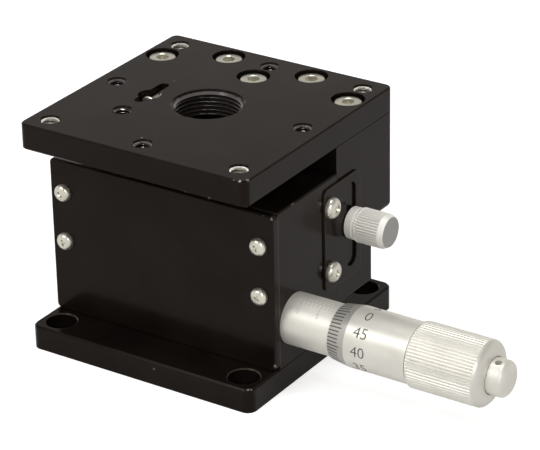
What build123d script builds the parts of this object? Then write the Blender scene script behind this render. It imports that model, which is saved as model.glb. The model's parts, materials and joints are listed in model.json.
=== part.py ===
"""Vertical micrometer stage: a 60 mm plate lifted by a bell crank on crossed-roller rails."""

from build123d import *
import os
from math import asin, cos, degrees, radians, sin, sqrt

os.makedirs("parts", exist_ok=True)

# Frame: origin at the centre of the base plate's underside, +X out along the
# micrometer, -Y towards the front cover, +Z up. Everything is drawn at mid travel.

# Overall
side = 60.0
travel = 5.0
fastener_fit = 0.05
running_clearance = 0.05

# Base plate
base_thickness = 5.8
base_corner_radius = 2.2
base_edge_break = 0.4
mounting_inset = 5.0
base_hole_radius = 2.25
base_counterbore_radius = 3.55
base_counterbore_break = 0.25
base_counterbore_depth = 3.8
driver_room = 1.2

# Fixed body, its front cover and the seam to the moving carriage
body_height = 37.9
cover_thickness = 2.0
cover_corner_radius = 1.3
cover_edge_break = 0.3
body_rear_y = 5.7
body_edge_break = 0.3
seam_gap = 0.3

# Stage plate and carriage
plate_thickness = 6.2
plate_corner_radius = 1.7
plate_edge_break = 0.3
plate_stop_clearance = 1.1
carriage_stop_clearance = 0.4
carriage_side_inset = 0.1
carriage_leg_room = 0.75
carriage_flange_height = 23.8
carriage_corner_radius = 1.5

# Holes of the stage plate
centre_thread_radius = 8.0
centre_thread_break = 0.45
tap_radius = 2.0
tap_break = 0.4
plate_counterbore_radius = 3.85
plate_counterbore_depth = 3.6
plate_screw_clearance_radius = 2.25
plate_screw_side_inset = 4.7
plate_screw_front_inset = 11.7
plate_screw_rear_inset = 4.9
plate_screw_inner_x = 11.3

# Crossed-roller guide
guide_side_wall = 7.9
ledge_height = 0.5
ledge_inset = 0.2
rail_width = 5.6
rail_thickness = 6.0
rail_length = 30.0
rail_gap = 0.9
rail_end_break = 0.15
rail_hole_pitch = 15.0
guide_clearance = 0.5
roller_diameter = 3.0
roller_clearance = 0.05
rollers_per_cage = 5
cage_thickness = 0.5
cage_end_margin = 1.5
cage_end_wall = 1.5
cage_side_margin = 0.3
cage_corner_radius = 0.8
cage_window_room = 0.3

# Micrometer head
micrometer_height = 10.1
micrometer_inset = 6.0
stem_radius = 4.75
sleeve_radius = 6.0
sleeve_length = 36.0
sleeve_thread_radius = 4.9
sleeve_thread_length = 4.5
spindle_radius = 3.0
spindle_reach = 14.9
spindle_nose_radius = 2.0
spindle_nose_length = 8.5
drive_screw_radius = 3.5
drive_screw_lead = 0.4
drive_screw_break = 0.4
thimble_edge_reach = 12.3
thimble_edge_wall = 0.25
thimble_bevel_length = 4.4
thimble_wall = 0.9
barrel_length = 15.5
grip_height = 0.5
grip_length = 15.9
grip_edge_break = 0.4
thimble_cone_length = 2.0
thimble_floor_room = 1.0
cap_wall = 0.65
cap_shoulder = 0.75
cap_seat_depth = 0.2
cap_length = 4.1
cap_dome_height = 1.1
cap_dome_inset = 1.55
cap_dome_swell = 0.25
cap_hole_radius = 0.6
cap_hole_depth = 2.4
cap_hole_angle = 14.0
cap_hole_start_room = 1.0
nut_slot_width = 1.2
nut_end_gap = 0.1
key_radius = 0.75
key_inset = 8.0
keyway_depth = 1.0
keyway_end_room = 0.5
key_float = 0.15
key_top_room = 0.1

# Bell crank, its rollers and the lift post
lever_arm = 13.0
lever_pivot_x = -1.4
lever_width = 7.9
lever_arm_half_width = 2.0
lever_hub_wall = 1.55
pivot_pin_radius = 2.5
pivot_bush_wall = 0.95
pivot_pin_seat_depth = 5.7
pivot_pin_nose = 1.5
ring_thickness = 0.6
ring_wall = 2.4
ring_groove_depth = 0.5
crank_side_room = 0.85
crank_pocket_margin = 1.1
crank_pocket_floor_room = 2.9
crank_pocket_end_room = 2.0
crank_roller_radius = 3.0
crank_roller_width = 4.0
crank_roller_side_gap = 0.15
crank_roller_break = 0.2
crank_fork_room = 0.5
crank_pin_radius = 0.98
contact_gap = 0.1
lift_post_offset_y = 0.5
lift_post_radius = 2.5
lift_post_foot_break = 0.3
lift_post_collar_radius = 4.0
lift_post_collar_height = 1.5
lift_post_collar_room = 1.5
lift_post_stud_length = 3.0

# Return spring and its two cross pins
spring_radius = 2.1
spring_wire_radius = 0.35
spring_eye_gap = 0.5
spring_eye_turn = 255.0
spring_eye_wire_share = 0.98
spring_wall = 1.9
spring_plate_hole_radius = 2.5
spring_bore_radius = 2.9
spring_pin_radius = 1.1
spring_pin_length = 10.2
spring_pin_depth = 3.5
spring_slot_clearance = 0.1
spring_slot_end_room = 0.8
spring_slot_offset_y = 1.1
spring_lower_slot_depth = 4.1

# Side clamp
clamp_plate_thickness = 0.5
clamp_plate_rise = 10.8
clamp_plate_height = 25.0
clamp_plate_lap = 5.5
clamp_plate_tail = 3.8
clamp_plate_corner_radius = 1.5
clamp_screw_lap = 3.3
clamp_screw_end_inset = 4.6
clamp_slot_spare = 6.8
clamp_slot_drop = 0.5
clamp_slot_side_room = 0.15
clamp_stud_wall = 1.5
clamp_stud_break = 0.3
knob_offset_y = 5.1
knob_rise = 0.7
knob_face_gap = 0.1
knob_flange_radius = 3.4
knob_flange_length = 1.9
knob_flange_break = 0.2
knob_neck_radius = 2.9
knob_neck_length = 0.7
knob_radius = 4.05
knob_edge_break = 0.4
knob_length = 10.2
knob_bevel_length = 1.2
knob_bevel_radius = 3.2

# Fasteners
hole_tip_room = 0.3
pan_rim_share = 0.45
pan_crown_share = 0.55
socket_share = 0.5
socket_depth_share = 0.55
cover_screw_side_inset = 3.7
cover_screw_top_inset = 7.8
cover_screw_stem_gap = 3.15
cover_screw_radius = 1.2
cover_screw_head_radius = 2.05
cover_screw_head_height = 1.6
cover_screw_length = 7.0
clamp_screw_radius = 1.45
clamp_screw_head_radius = 2.45
clamp_screw_head_height = 1.9
clamp_screw_length = 5.7
plate_screw_radius = 1.95
plate_screw_head_radius = 3.3
plate_screw_head_height = 3.0
plate_screw_length = 8.5
base_screw_radius = 1.45
base_screw_head_radius = 2.75
base_screw_head_height = 3.0
base_screw_counterbore_depth = 3.2
base_screw_length = 7.0
base_screw_side_inset = 5.5
base_screw_front_inset = 5.0
base_screw_rear_inset = 3.9
rail_screw_radius = 0.95
rail_screw_head_radius = 1.85
rail_screw_head_height = 2.0
rail_screw_head_room = 0.15
rail_screw_sink = 0.2
rail_screw_grip = 3.6
set_screw_radius = 1.45
set_screw_length = 4.0
set_screw_inset = 11.5
set_screw_socket_share = 0.55

# Levels and faces that follow from the sizes above
half_side = side / 2
half_pitch = half_side - mounting_inset
base_top = base_thickness
body_top = base_top + body_height
base_rim_radius = base_counterbore_radius + base_counterbore_break
cover_face_y = -half_pitch + base_rim_radius + driver_room
body_front_y = cover_face_y + cover_thickness
plate_bottom = body_top + travel + plate_stop_clearance
plate_top = plate_bottom + plate_thickness
carriage_bottom = base_top + travel + carriage_stop_clearance
carriage_front_y = body_rear_y + seam_gap
carriage_leg_rear_y = half_pitch - base_rim_radius - carriage_leg_room
carriage_flange_bottom = plate_bottom - carriage_flange_height
carriage_half_width = half_side - carriage_side_inset

# Guide lines
channel_half_width = half_side - guide_side_wall
rail_line_x = channel_half_width - rail_width - rail_gap / 2
boss_half_width = rail_line_x - rail_gap / 2 - rail_width
ledge_y = body_rear_y + ledge_height
ledge_half_width = boss_half_width + rail_width - ledge_inset
rail_rear_y = ledge_y + rail_thickness
rail_centre_y = ledge_y + rail_thickness / 2
groove_depth = roller_diameter / sqrt(2) - rail_gap / 2
rail_middle_z = (base_top + body_top + carriage_bottom + plate_bottom) / 4
rail_bottom = rail_middle_z - rail_length / 2
cage_length = rail_length - travel - 2 * cage_end_margin
roller_pitch = (cage_length - roller_diameter - 2 * cage_end_wall) / (rollers_per_cage - 1)
roller_rise = (rollers_per_cage - 1) / 2 * roller_pitch
roller_z = [rail_middle_z - roller_rise + i * roller_pitch for i in range(rollers_per_cage)]
rail_hole_z = [rail_middle_z - rail_hole_pitch / 2, rail_middle_z + rail_hole_pitch / 2]
fixed_rail_middle_x = boss_half_width + rail_width / 2
moving_rail_middle_x = channel_half_width - rail_width / 2
rail_counterbore_radius = rail_screw_head_radius + rail_screw_head_room
rail_counterbore_depth = rail_screw_head_height + rail_screw_sink
rail_screw_length = rail_thickness - rail_counterbore_depth + rail_screw_grip

# Lever lines
micrometer_y = body_front_y + micrometer_inset
micrometer_z = base_top + micrometer_height
pivot_z = micrometer_z + lever_arm
lever_hub_radius = pivot_pin_radius + pivot_bush_wall + lever_hub_wall
drive_roller_at = (lever_pivot_x, pivot_z - lever_arm)
lift_roller_at = (lever_pivot_x - lever_arm, pivot_z)
lift_post_x = lever_pivot_x - lever_arm
lift_post_y = micrometer_y - lift_post_offset_y
lift_post_bottom = pivot_z + crank_roller_radius + contact_gap
lever_front_y = micrometer_y - lever_width / 2
lever_rear_y = micrometer_y + lever_width / 2
crank_pocket_rear_y = lever_rear_y + crank_side_room
roller_slot = crank_roller_width + 2 * crank_roller_side_gap
spindle_tip_x = lever_pivot_x + crank_roller_radius + contact_gap
lever_swing = degrees(asin(travel / lever_arm))

# Crank pocket, an outline that clears every position of the crank and the lift post
pocket_left_x = lift_post_x - lift_post_collar_radius - lift_post_collar_room
pocket_right_x = lever_pivot_x + travel + crank_roller_radius + crank_pocket_end_room
pocket_low_z = micrometer_z - crank_roller_radius - crank_pocket_floor_room
pocket_lift_z = pivot_z - travel - crank_roller_radius - crank_pocket_margin
pocket_drive_x = lever_pivot_x - travel - crank_roller_radius - crank_pocket_margin
pocket_roof_z = pivot_z + lever_hub_radius + crank_pocket_margin
pocket_post_x = lift_post_x + lift_post_collar_radius + lift_post_collar_room

# Spring lines
spring_x = lift_post_x
spring_y = crank_pocket_rear_y + spring_wall + spring_bore_radius
spring_slot_half_width = spring_pin_radius + spring_slot_clearance
spring_slot_length = spring_pin_length + 2 * spring_slot_end_room
plate_slot_y = spring_y + spring_slot_offset_y
upper_pin_z = plate_top - spring_pin_depth + spring_pin_radius
lower_pin_z = base_top + spring_lower_slot_depth - spring_pin_radius
coil_radius = spring_radius - spring_wire_radius
eye_lift = coil_radius - spring_wire_radius - spring_pin_radius - fastener_fit
upper_eye_z = upper_pin_z - eye_lift
lower_eye_z = lower_pin_z + eye_lift
coil_top = upper_eye_z - spring_radius - spring_eye_gap
coil_bottom = lower_eye_z + spring_radius + spring_eye_gap

# Micrometer stations, counted from the body's right face
face_x = half_side
sleeve_end_x = face_x + sleeve_length
sleeve_thread_x = sleeve_end_x - sleeve_thread_length
sleeve_bore_radius = spindle_radius + running_clearance
screw_bore_radius = drive_screw_radius + running_clearance
spindle_tail_x = face_x + spindle_reach
screw_bore_x = spindle_tail_x - travel - drive_screw_lead
drive_screw_x = spindle_tail_x + 2 * running_clearance
thimble_bore_radius = sleeve_radius + 2 * running_clearance
thimble_edge_x = face_x + thimble_edge_reach
bevel_end_x = thimble_edge_x + thimble_bevel_length
grip_start_x = bevel_end_x + barrel_length
grip_end_x = grip_start_x + grip_length
cone_end_x = grip_end_x + thimble_cone_length
barrel_radius = thimble_bore_radius + thimble_wall
grip_radius = barrel_radius + grip_height
thimble_floor_x = sleeve_end_x + travel + thimble_floor_room
cap_radius = drive_screw_radius + cap_wall
cap_rim_radius = cap_radius + cap_shoulder
cap_flat_radius = cap_radius - cap_dome_inset
cap_seat_x = grip_end_x - cap_seat_depth
cap_end_x = cone_end_x + cap_length
key_x = face_x - key_inset
keyway_floor_z = micrometer_z + spindle_radius - keyway_depth
set_screw_x = face_x - set_screw_inset
set_screw_top = micrometer_z - stem_radius

# Clamp lines
clamp_plate_bottom = base_top + clamp_plate_rise
clamp_screw_y = body_rear_y - clamp_screw_lap
knob_y = carriage_front_y + knob_offset_y
knob_z = clamp_plate_bottom + clamp_plate_height / 2 + knob_rise
clamp_plate_front_y = body_rear_y - clamp_plate_lap
clamp_plate_rear_y = knob_y + clamp_plate_tail
clamp_plate_width = clamp_plate_rear_y - clamp_plate_front_y
clamp_slot_length = 2 * travel + 2 * tap_radius + clamp_slot_spare
clamp_slot_width = 2 * (tap_radius + clamp_slot_side_room)
knob_base_x = face_x + clamp_plate_thickness + knob_face_gap
knob_neck_x = knob_base_x + knob_flange_length
knob_barrel_x = knob_neck_x + knob_neck_length
knob_end_x = knob_base_x + knob_length
clamp_stud_end_x = knob_end_x - knob_length / 2
clamp_stud_tip_x = channel_half_width + clamp_stud_wall

front_view = Plane.XZ
side_view = Plane.YZ
stage_level = Plane.XY.offset(plate_top)
micrometer_plane = Plane(origin=(0, micrometer_y, micrometer_z), x_dir=(1, 0, 0), z_dir=(0, -1, 0))
micrometer_axis = Axis((0, micrometer_y, micrometer_z), (1, 0, 0))
knob_plane = Plane(origin=(0, knob_y, knob_z), x_dir=(1, 0, 0), z_dir=(0, -1, 0))
knob_axis = Axis((0, knob_y, knob_z), (1, 0, 0))

cover_screw_x = half_side - cover_screw_side_inset
cover_screw_high_z = body_top - cover_screw_top_inset
cover_screw_low_z = micrometer_z + stem_radius + cover_screw_stem_gap
cover_screw_places = [
    (x, z) for x in (-cover_screw_x, cover_screw_x) for z in (cover_screw_low_z, cover_screw_high_z)
]
clamp_screw_low_z = clamp_plate_bottom + clamp_screw_end_inset
clamp_screw_high_z = clamp_plate_bottom + clamp_plate_height - clamp_screw_end_inset
clamp_screw_places = [(clamp_screw_y, clamp_screw_low_z), (clamp_screw_y, clamp_screw_high_z)]
base_screw_x = half_side - base_screw_side_inset
base_screw_front_y = body_front_y + base_screw_front_inset
base_screw_rear_y = body_rear_y - base_screw_rear_inset
base_screw_places = [
    (x, y) for x in (-base_screw_x, base_screw_x) for y in (base_screw_front_y, base_screw_rear_y)
]
plate_screw_side_x = half_side - plate_screw_side_inset
plate_screw_side_y = half_side - plate_screw_front_inset
plate_screw_rear_y = half_side - plate_screw_rear_inset
plate_screw_places = [
    (-plate_screw_side_x, plate_screw_side_y),
    (plate_screw_side_x, plate_screw_side_y),
    (0, plate_screw_side_y),
    (-plate_screw_inner_x, plate_screw_rear_y),
    (plate_screw_inner_x, plate_screw_rear_y),
]
fixed_rail_screw_places = [(hand * fixed_rail_middle_x, z) for hand in (-1, 1) for z in rail_hole_z]
moving_rail_screw_places = [(hand * moving_rail_middle_x, z) for hand in (-1, 1) for z in rail_hole_z]
edge_tap_places = [(-half_pitch, 0), (half_pitch, 0), (0, -half_pitch), (0, half_pitch)]


def front_plane(y):
    """Plane facing -Y at the given y, with local x along X and local y along Z."""
    return front_view.offset(-y)


def save(piece, name):
    """Label a finished piece and write it to its own file."""
    piece.part.label = name
    export_step(piece.part, f"parts/{name}.step")


def head_plane(places, kind, level):
    """Planes whose origin is each screw's seat and whose normal points out of the head."""
    planes = []
    for a, b in places:
        if kind == "front":
            planes.append(Plane(origin=(a, level, b), x_dir=(1, 0, 0), z_dir=(0, -1, 0)))
        elif kind == "rear":
            planes.append(Plane(origin=(a, level, b), x_dir=(-1, 0, 0), z_dir=(0, 1, 0)))
        elif kind == "right":
            planes.append(Plane(origin=(level, a, b), x_dir=(0, 1, 0), z_dir=(1, 0, 0)))
        elif kind == "up":
            planes.append(Plane(origin=(a, b, level), x_dir=(1, 0, 0), z_dir=(0, 0, 1)))
        else:
            planes.append(Plane(origin=(a, b, level), x_dir=(1, 0, 0), z_dir=(0, 0, -1)))
    return planes


def pan_screw(seat, shank, length, head, height):
    """Pan-head screw seated on a plane whose normal leaves the head."""
    with BuildPart(mode=Mode.PRIVATE) as screw:
        with BuildSketch(Plane(origin=seat.origin, x_dir=seat.x_dir, z_dir=-seat.y_dir)):
            Polygon(
                (0, -length),
                (shank, -length),
                (shank, 0),
                (head, 0),
                (head, height * pan_rim_share),
                (head * pan_crown_share, height),
                (0, height),
                align=None,
            )
        revolve(axis=Axis(seat.origin, seat.z_dir))
    return screw.part


def cap_screw(seat, shank, length, head, height, socket=True):
    """Socket-head cap screw seated on a plane whose normal leaves the head."""
    with BuildPart(mode=Mode.PRIVATE) as screw:
        with BuildSketch(seat):
            Circle(head)
        extrude(amount=height)
        with BuildSketch(seat):
            Circle(shank)
        extrude(amount=-length)
        if socket:
            with BuildSketch(seat.offset(height)):
                RegularPolygon(head * socket_share, 6)
            extrude(amount=-height * socket_depth_share, mode=Mode.SUBTRACT)
    return screw.part


# Base plate, with counterbored mounting holes at its corners
with BuildPart() as base_plate:
    with BuildSketch(Plane.XY):
        RectangleRounded(side, side, base_corner_radius)
    extrude(amount=base_thickness)
    chamfer(base_plate.faces().sort_by(Axis.Z)[-1].edges(), base_edge_break)
    with BuildSketch(Plane.XY):
        with GridLocations(2 * half_pitch, 2 * half_pitch, 2, 2):
            Circle(base_hole_radius)
        with Locations(*base_screw_places):
            Circle(base_screw_radius + 2 * fastener_fit)
    extrude(amount=base_thickness, mode=Mode.SUBTRACT)
    with BuildSketch(Plane.XY.offset(base_top)):
        with GridLocations(2 * half_pitch, 2 * half_pitch, 2, 2):
            Circle(base_counterbore_radius)
    extrude(amount=-base_counterbore_depth, mode=Mode.SUBTRACT)
    with Locations(Plane.XY.offset(base_top)):
        with GridLocations(2 * half_pitch, 2 * half_pitch, 2, 2):
            Cone(
                base_counterbore_radius,
                base_rim_radius,
                base_counterbore_break,
                align=(Align.CENTER, Align.CENTER, Align.MAX),
                mode=Mode.SUBTRACT,
            )
    with BuildSketch(Plane.XY):
        with Locations(*base_screw_places):
            Circle(base_screw_head_radius + 2 * fastener_fit)
    extrude(amount=base_screw_counterbore_depth, mode=Mode.SUBTRACT)
save(base_plate, "base_plate")

# Body block, pocketed from the front for the crank, with the guide boss behind
with BuildPart() as body_block:
    with BuildSketch(Plane.XY.offset(base_top)):
        with BuildLine():
            Polyline(
                (-half_side, body_front_y),
                (half_side, body_front_y),
                (half_side, body_rear_y),
                (ledge_half_width, body_rear_y),
                (ledge_half_width, ledge_y),
                (boss_half_width, ledge_y),
                (boss_half_width, rail_rear_y - guide_clearance),
                (-boss_half_width, rail_rear_y - guide_clearance),
                (-boss_half_width, ledge_y),
                (-ledge_half_width, ledge_y),
                (-ledge_half_width, body_rear_y),
                (-half_side, body_rear_y),
                close=True,
            )
        make_face()
    extrude(amount=body_height)
    side_faces = body_block.faces().filter_by(Axis.X).sort_by(Axis.X)
    side_edges = side_faces[0].edges() + side_faces[-1].edges()
    chamfer(side_edges.group_by(Axis.Z)[-1], body_edge_break)
    with BuildSketch(front_plane(body_front_y)):
        with BuildLine():
            Polyline(
                (pocket_drive_x, pocket_low_z),
                (pocket_right_x, pocket_low_z),
                (pocket_right_x, pocket_roof_z),
                (pocket_post_x, pocket_roof_z),
                (pocket_post_x, body_top),
                (pocket_left_x, body_top),
                (pocket_left_x, pocket_lift_z),
                (pocket_drive_x, pocket_lift_z),
                close=True,
            )
        make_face()
    extrude(amount=body_front_y - crank_pocket_rear_y, mode=Mode.SUBTRACT)
    with BuildSketch(side_view.offset(face_x)):
        with Locations((micrometer_y, micrometer_z)):
            Circle(stem_radius + fastener_fit)
    extrude(amount=pocket_right_x - face_x, mode=Mode.SUBTRACT)
    with BuildSketch(front_plane(crank_pocket_rear_y)):
        with Locations((lever_pivot_x, pivot_z)):
            Circle(pivot_pin_radius)
    extrude(amount=-pivot_pin_seat_depth, mode=Mode.SUBTRACT)
    with BuildSketch(Plane.XY.offset(base_top)):
        with Locations((spring_x, spring_y)):
            Circle(spring_bore_radius)
    extrude(amount=body_height, mode=Mode.SUBTRACT)
    with BuildSketch(Plane.XY.offset(base_top)):
        with Locations((spring_x, spring_y)):
            SlotOverall(spring_slot_length, 2 * spring_slot_half_width, rotation=90)
    extrude(amount=spring_lower_slot_depth, mode=Mode.SUBTRACT)
    with BuildSketch(Plane.XY.offset(base_top)):
        with Locations(*base_screw_places):
            Circle(base_screw_radius + fastener_fit)
    base_screw_hole = base_screw_length - base_thickness + base_screw_counterbore_depth + hole_tip_room
    extrude(amount=base_screw_hole, mode=Mode.SUBTRACT)
    with BuildSketch(Plane.XY.offset(base_top)):
        with Locations((set_screw_x, micrometer_y)):
            Circle(set_screw_radius + fastener_fit)
    extrude(amount=micrometer_z - base_top, mode=Mode.SUBTRACT)
    with BuildSketch(front_plane(body_front_y)):
        with Locations(*cover_screw_places):
            Circle(cover_screw_radius + fastener_fit)
    extrude(amount=cover_thickness - cover_screw_length - hole_tip_room, mode=Mode.SUBTRACT)
    with BuildSketch(side_view.offset(face_x)):
        with Locations(*clamp_screw_places):
            Circle(clamp_screw_radius + fastener_fit)
    extrude(amount=clamp_plate_thickness - clamp_screw_length - hole_tip_room, mode=Mode.SUBTRACT)
    with BuildSketch(front_plane(ledge_y)):
        with Locations(*fixed_rail_screw_places):
            Circle(rail_screw_radius + fastener_fit)
    extrude(amount=rail_screw_grip + hole_tip_room, mode=Mode.SUBTRACT)
save(body_block, "body_block")

# Front cover over the crank pocket
with BuildPart() as front_cover:
    with BuildSketch(front_plane(body_front_y)):
        with Locations((0, base_top + body_height / 2)):
            RectangleRounded(side, body_height, cover_corner_radius)
        with Locations(*cover_screw_places):
            Circle(cover_screw_radius + 2 * fastener_fit, mode=Mode.SUBTRACT)
    extrude(amount=cover_thickness)
    cover_rim = front_cover.faces().sort_by(Axis.Y)[0].outer_wire().edges()
    chamfer(cover_rim, cover_edge_break)
save(front_cover, "front_cover")

with BuildPart() as cover_screws:
    for seat_plane in head_plane(cover_screw_places, "front", cover_face_y):
        add(
            pan_screw(
                seat_plane,
                cover_screw_radius,
                cover_screw_length,
                cover_screw_head_radius,
                cover_screw_head_height,
            )
        )
save(cover_screws, "cover_screws")

with BuildPart() as base_screws:
    for seat_plane in head_plane(base_screw_places, "down", base_screw_counterbore_depth):
        add(
            cap_screw(
                seat_plane,
                base_screw_radius,
                base_screw_length,
                base_screw_head_radius,
                base_screw_head_height,
            )
        )
save(base_screws, "base_screws")


def rail_section(hand, moving):
    """Section of one rail in the XY plane, V groove facing the roller line."""
    outward = hand if moving else -hand
    near_x = hand * rail_line_x + outward * rail_gap / 2
    far_x = near_x + outward * rail_width
    groove_x = near_x + outward * groove_depth
    Polygon(
        (near_x, ledge_y),
        (near_x, rail_centre_y - groove_depth),
        (groove_x, rail_centre_y),
        (near_x, rail_centre_y + groove_depth),
        (near_x, rail_rear_y),
        (far_x, rail_rear_y),
        (far_x, ledge_y),
        align=None,
    )


def make_rail(hand, moving):
    """One ground rail with counterbored holes; the counterbores face away from its seat."""
    middle_x = hand * (moving_rail_middle_x if moving else fixed_rail_middle_x)
    open_y = ledge_y if moving else rail_rear_y
    inward = -1 if moving else 1
    with BuildPart(mode=Mode.PRIVATE) as rail:
        with BuildSketch(Plane.XY.offset(rail_bottom)):
            rail_section(hand, moving)
        extrude(amount=rail_length)
        ends = rail.faces().filter_by(Axis.Z)
        chamfer([face.edges().sort_by(Axis.X)[0] for face in ends], rail_end_break)
        with BuildSketch(front_plane(ledge_y)):
            with Locations(*[(middle_x, z) for z in rail_hole_z]):
                Circle(rail_screw_radius + 2 * fastener_fit)
        extrude(amount=-rail_thickness, mode=Mode.SUBTRACT)
        with BuildSketch(front_plane(open_y)):
            with Locations(*[(middle_x, z) for z in rail_hole_z]):
                Circle(rail_counterbore_radius)
        extrude(amount=inward * rail_counterbore_depth, mode=Mode.SUBTRACT)
    return rail.part


rail_names = {
    "fixed_rail_left": (-1, False),
    "fixed_rail_right": (1, False),
    "moving_rail_left": (-1, True),
    "moving_rail_right": (1, True),
}
for rail_name, (rail_side, rail_moves) in rail_names.items():
    with BuildPart() as guide_rail:
        add(make_rail(rail_side, rail_moves))
    save(guide_rail, rail_name)

with BuildPart() as fixed_rail_screws:
    for seat_plane in head_plane(fixed_rail_screw_places, "rear", rail_rear_y - rail_counterbore_depth):
        add(
            cap_screw(
                seat_plane,
                rail_screw_radius,
                rail_screw_length,
                rail_screw_head_radius,
                rail_screw_head_height,
                socket=False,
            )
        )
save(fixed_rail_screws, "fixed_rail_screws")

with BuildPart() as moving_rail_screws:
    for seat_plane in head_plane(moving_rail_screw_places, "front", ledge_y + rail_counterbore_depth):
        add(
            cap_screw(
                seat_plane,
                rail_screw_radius,
                rail_screw_length,
                rail_screw_head_radius,
                rail_screw_head_height,
                socket=False,
            )
        )
save(moving_rail_screws, "moving_rail_screws")

# Roller cages: a windowed strip and crossed rollers on each side
cage_width = rail_thickness - 2 * cage_side_margin
cage_window_width = roller_diameter * sqrt(2) + cage_window_room
for hand, word in ((-1, "left"), (1, "right")):
    line_x = hand * rail_line_x
    with BuildPart() as cage:
        with BuildSketch(side_view.offset(line_x - cage_thickness / 2)):
            with Locations((rail_centre_y, rail_middle_z)):
                RectangleRounded(cage_width, cage_length, cage_corner_radius)
            with Locations(*[(rail_centre_y, z) for z in roller_z]):
                Rectangle(cage_window_width, roller_diameter + 2 * fastener_fit, mode=Mode.SUBTRACT)
        extrude(amount=cage_thickness)
    save(cage, f"{word}_roller_cage")
    with BuildPart() as rollers:
        for index, z in enumerate(roller_z):
            lean = 1 if index % 2 == 0 else -1
            roller_plane = Plane(origin=(line_x, rail_centre_y, z), x_dir=(0, 0, 1), z_dir=(1, lean, 0))
            with BuildSketch(roller_plane):
                Circle(roller_diameter / 2 - roller_clearance)
            extrude(amount=roller_diameter / 2 - 2 * roller_clearance, both=True)
    save(rollers, f"{word}_cage_rollers")

# Moving carriage: L-shaped block with the stepped guide channel down its front
with BuildPart() as carriage:
    with BuildSketch(side_view.offset(-carriage_half_width)):
        with BuildLine():
            Polyline(
                (carriage_front_y, carriage_bottom),
                (carriage_leg_rear_y, carriage_bottom),
                (carriage_leg_rear_y, carriage_flange_bottom),
                (half_side, carriage_flange_bottom),
                (half_side, plate_bottom),
                (carriage_front_y, plate_bottom),
                close=True,
            )
        make_face()
    extrude(amount=2 * carriage_half_width)
    rear_edges = carriage.edges().filter_by(Axis.Z).group_by(Axis.Y)[-1]
    fillet(rear_edges, carriage_corner_radius)
    flange_edge = carriage.faces().sort_by(Axis.Y)[-1].edges().sort_by(Axis.Z)[0]
    fillet(flange_edge, carriage_corner_radius)
    with BuildSketch(Plane.XY.offset(carriage_bottom)):
        with BuildLine():
            Polyline(
                (-channel_half_width, carriage_front_y),
                (channel_half_width, carriage_front_y),
                (channel_half_width, rail_rear_y),
                (rail_line_x, rail_rear_y),
                (rail_line_x, rail_rear_y + guide_clearance),
                (-rail_line_x, rail_rear_y + guide_clearance),
                (-rail_line_x, rail_rear_y),
                (-channel_half_width, rail_rear_y),
                close=True,
            )
        make_face()
    extrude(amount=plate_bottom - carriage_bottom, mode=Mode.SUBTRACT)
    with BuildSketch(front_plane(rail_rear_y)):
        with Locations(*moving_rail_screw_places):
            Circle(rail_screw_radius + fastener_fit)
    extrude(amount=-rail_screw_grip - hole_tip_room, mode=Mode.SUBTRACT)
    with BuildSketch(side_view.offset(carriage_half_width)):
        with Locations((knob_y, knob_z)):
            Circle(tap_radius)
    extrude(amount=clamp_stud_tip_x - hole_tip_room - carriage_half_width, mode=Mode.SUBTRACT)
    with BuildSketch(Plane.XY.offset(plate_bottom)):
        with Locations(*plate_screw_places):
            Circle(plate_screw_radius + fastener_fit)
    plate_screw_hole = plate_screw_length - plate_thickness + plate_counterbore_depth + hole_tip_room
    extrude(amount=-plate_screw_hole, mode=Mode.SUBTRACT)
save(carriage, "carriage")

# Stage plate
with BuildPart() as top_plate:
    with BuildSketch(Plane.XY.offset(plate_bottom)):
        RectangleRounded(side, side, plate_corner_radius)
    extrude(amount=plate_thickness)
    chamfer(top_plate.faces().filter_by(Axis.Z).edges(), plate_edge_break)
    with Locations(stage_level):
        centre_rim_radius = centre_thread_radius + centre_thread_break
        CounterSinkHole(centre_thread_radius, centre_rim_radius, counter_sink_angle=90)
        with GridLocations(2 * half_pitch, 2 * half_pitch, 2, 2):
            CounterSinkHole(tap_radius, tap_radius + tap_break, counter_sink_angle=90)
        with Locations(*edge_tap_places, (lift_post_x, lift_post_y)):
            CounterSinkHole(tap_radius, tap_radius + tap_break, counter_sink_angle=90)
        with Locations(*plate_screw_places):
            CounterBoreHole(plate_screw_clearance_radius, plate_counterbore_radius, plate_counterbore_depth)
        with Locations((spring_x, spring_y)):
            Hole(spring_plate_hole_radius)
    with BuildSketch(stage_level):
        with Locations((spring_x, plate_slot_y)):
            SlotOverall(spring_slot_length, 2 * spring_slot_half_width, rotation=90)
    extrude(amount=-spring_pin_depth, mode=Mode.SUBTRACT)
save(top_plate, "top_plate")

with BuildPart() as top_plate_screws:
    for seat_plane in head_plane(plate_screw_places, "up", plate_top - plate_counterbore_depth):
        add(
            cap_screw(
                seat_plane,
                plate_screw_radius,
                plate_screw_length,
                plate_screw_head_radius,
                plate_screw_head_height,
            )
        )
save(top_plate_screws, "top_plate_screws")

# Post under the plate that the crank's upper roller lifts
with BuildPart() as lift_post:
    with BuildSketch(Plane.XY.offset(lift_post_bottom)):
        with Locations((lift_post_x, lift_post_y)):
            Circle(lift_post_radius)
    extrude(amount=plate_bottom - lift_post_bottom)
    chamfer(lift_post.faces().sort_by(Axis.Z)[0].edges(), lift_post_foot_break)
    with BuildSketch(Plane.XY.offset(plate_bottom)):
        with Locations((lift_post_x, lift_post_y)):
            Circle(lift_post_collar_radius)
    extrude(amount=-lift_post_collar_height)
    with BuildSketch(Plane.XY.offset(plate_bottom)):
        with Locations((lift_post_x, lift_post_y)):
            Circle(tap_radius - fastener_fit)
    extrude(amount=lift_post_stud_length)
save(lift_post, "lift_post")

# Cross pins that hold the two eyes of the return spring
with BuildPart() as upper_spring_pin:
    with BuildSketch(front_plane(plate_slot_y + spring_pin_length / 2)):
        with Locations((spring_x, upper_pin_z)):
            Circle(spring_pin_radius)
    extrude(amount=spring_pin_length)
save(upper_spring_pin, "upper_spring_pin")

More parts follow.
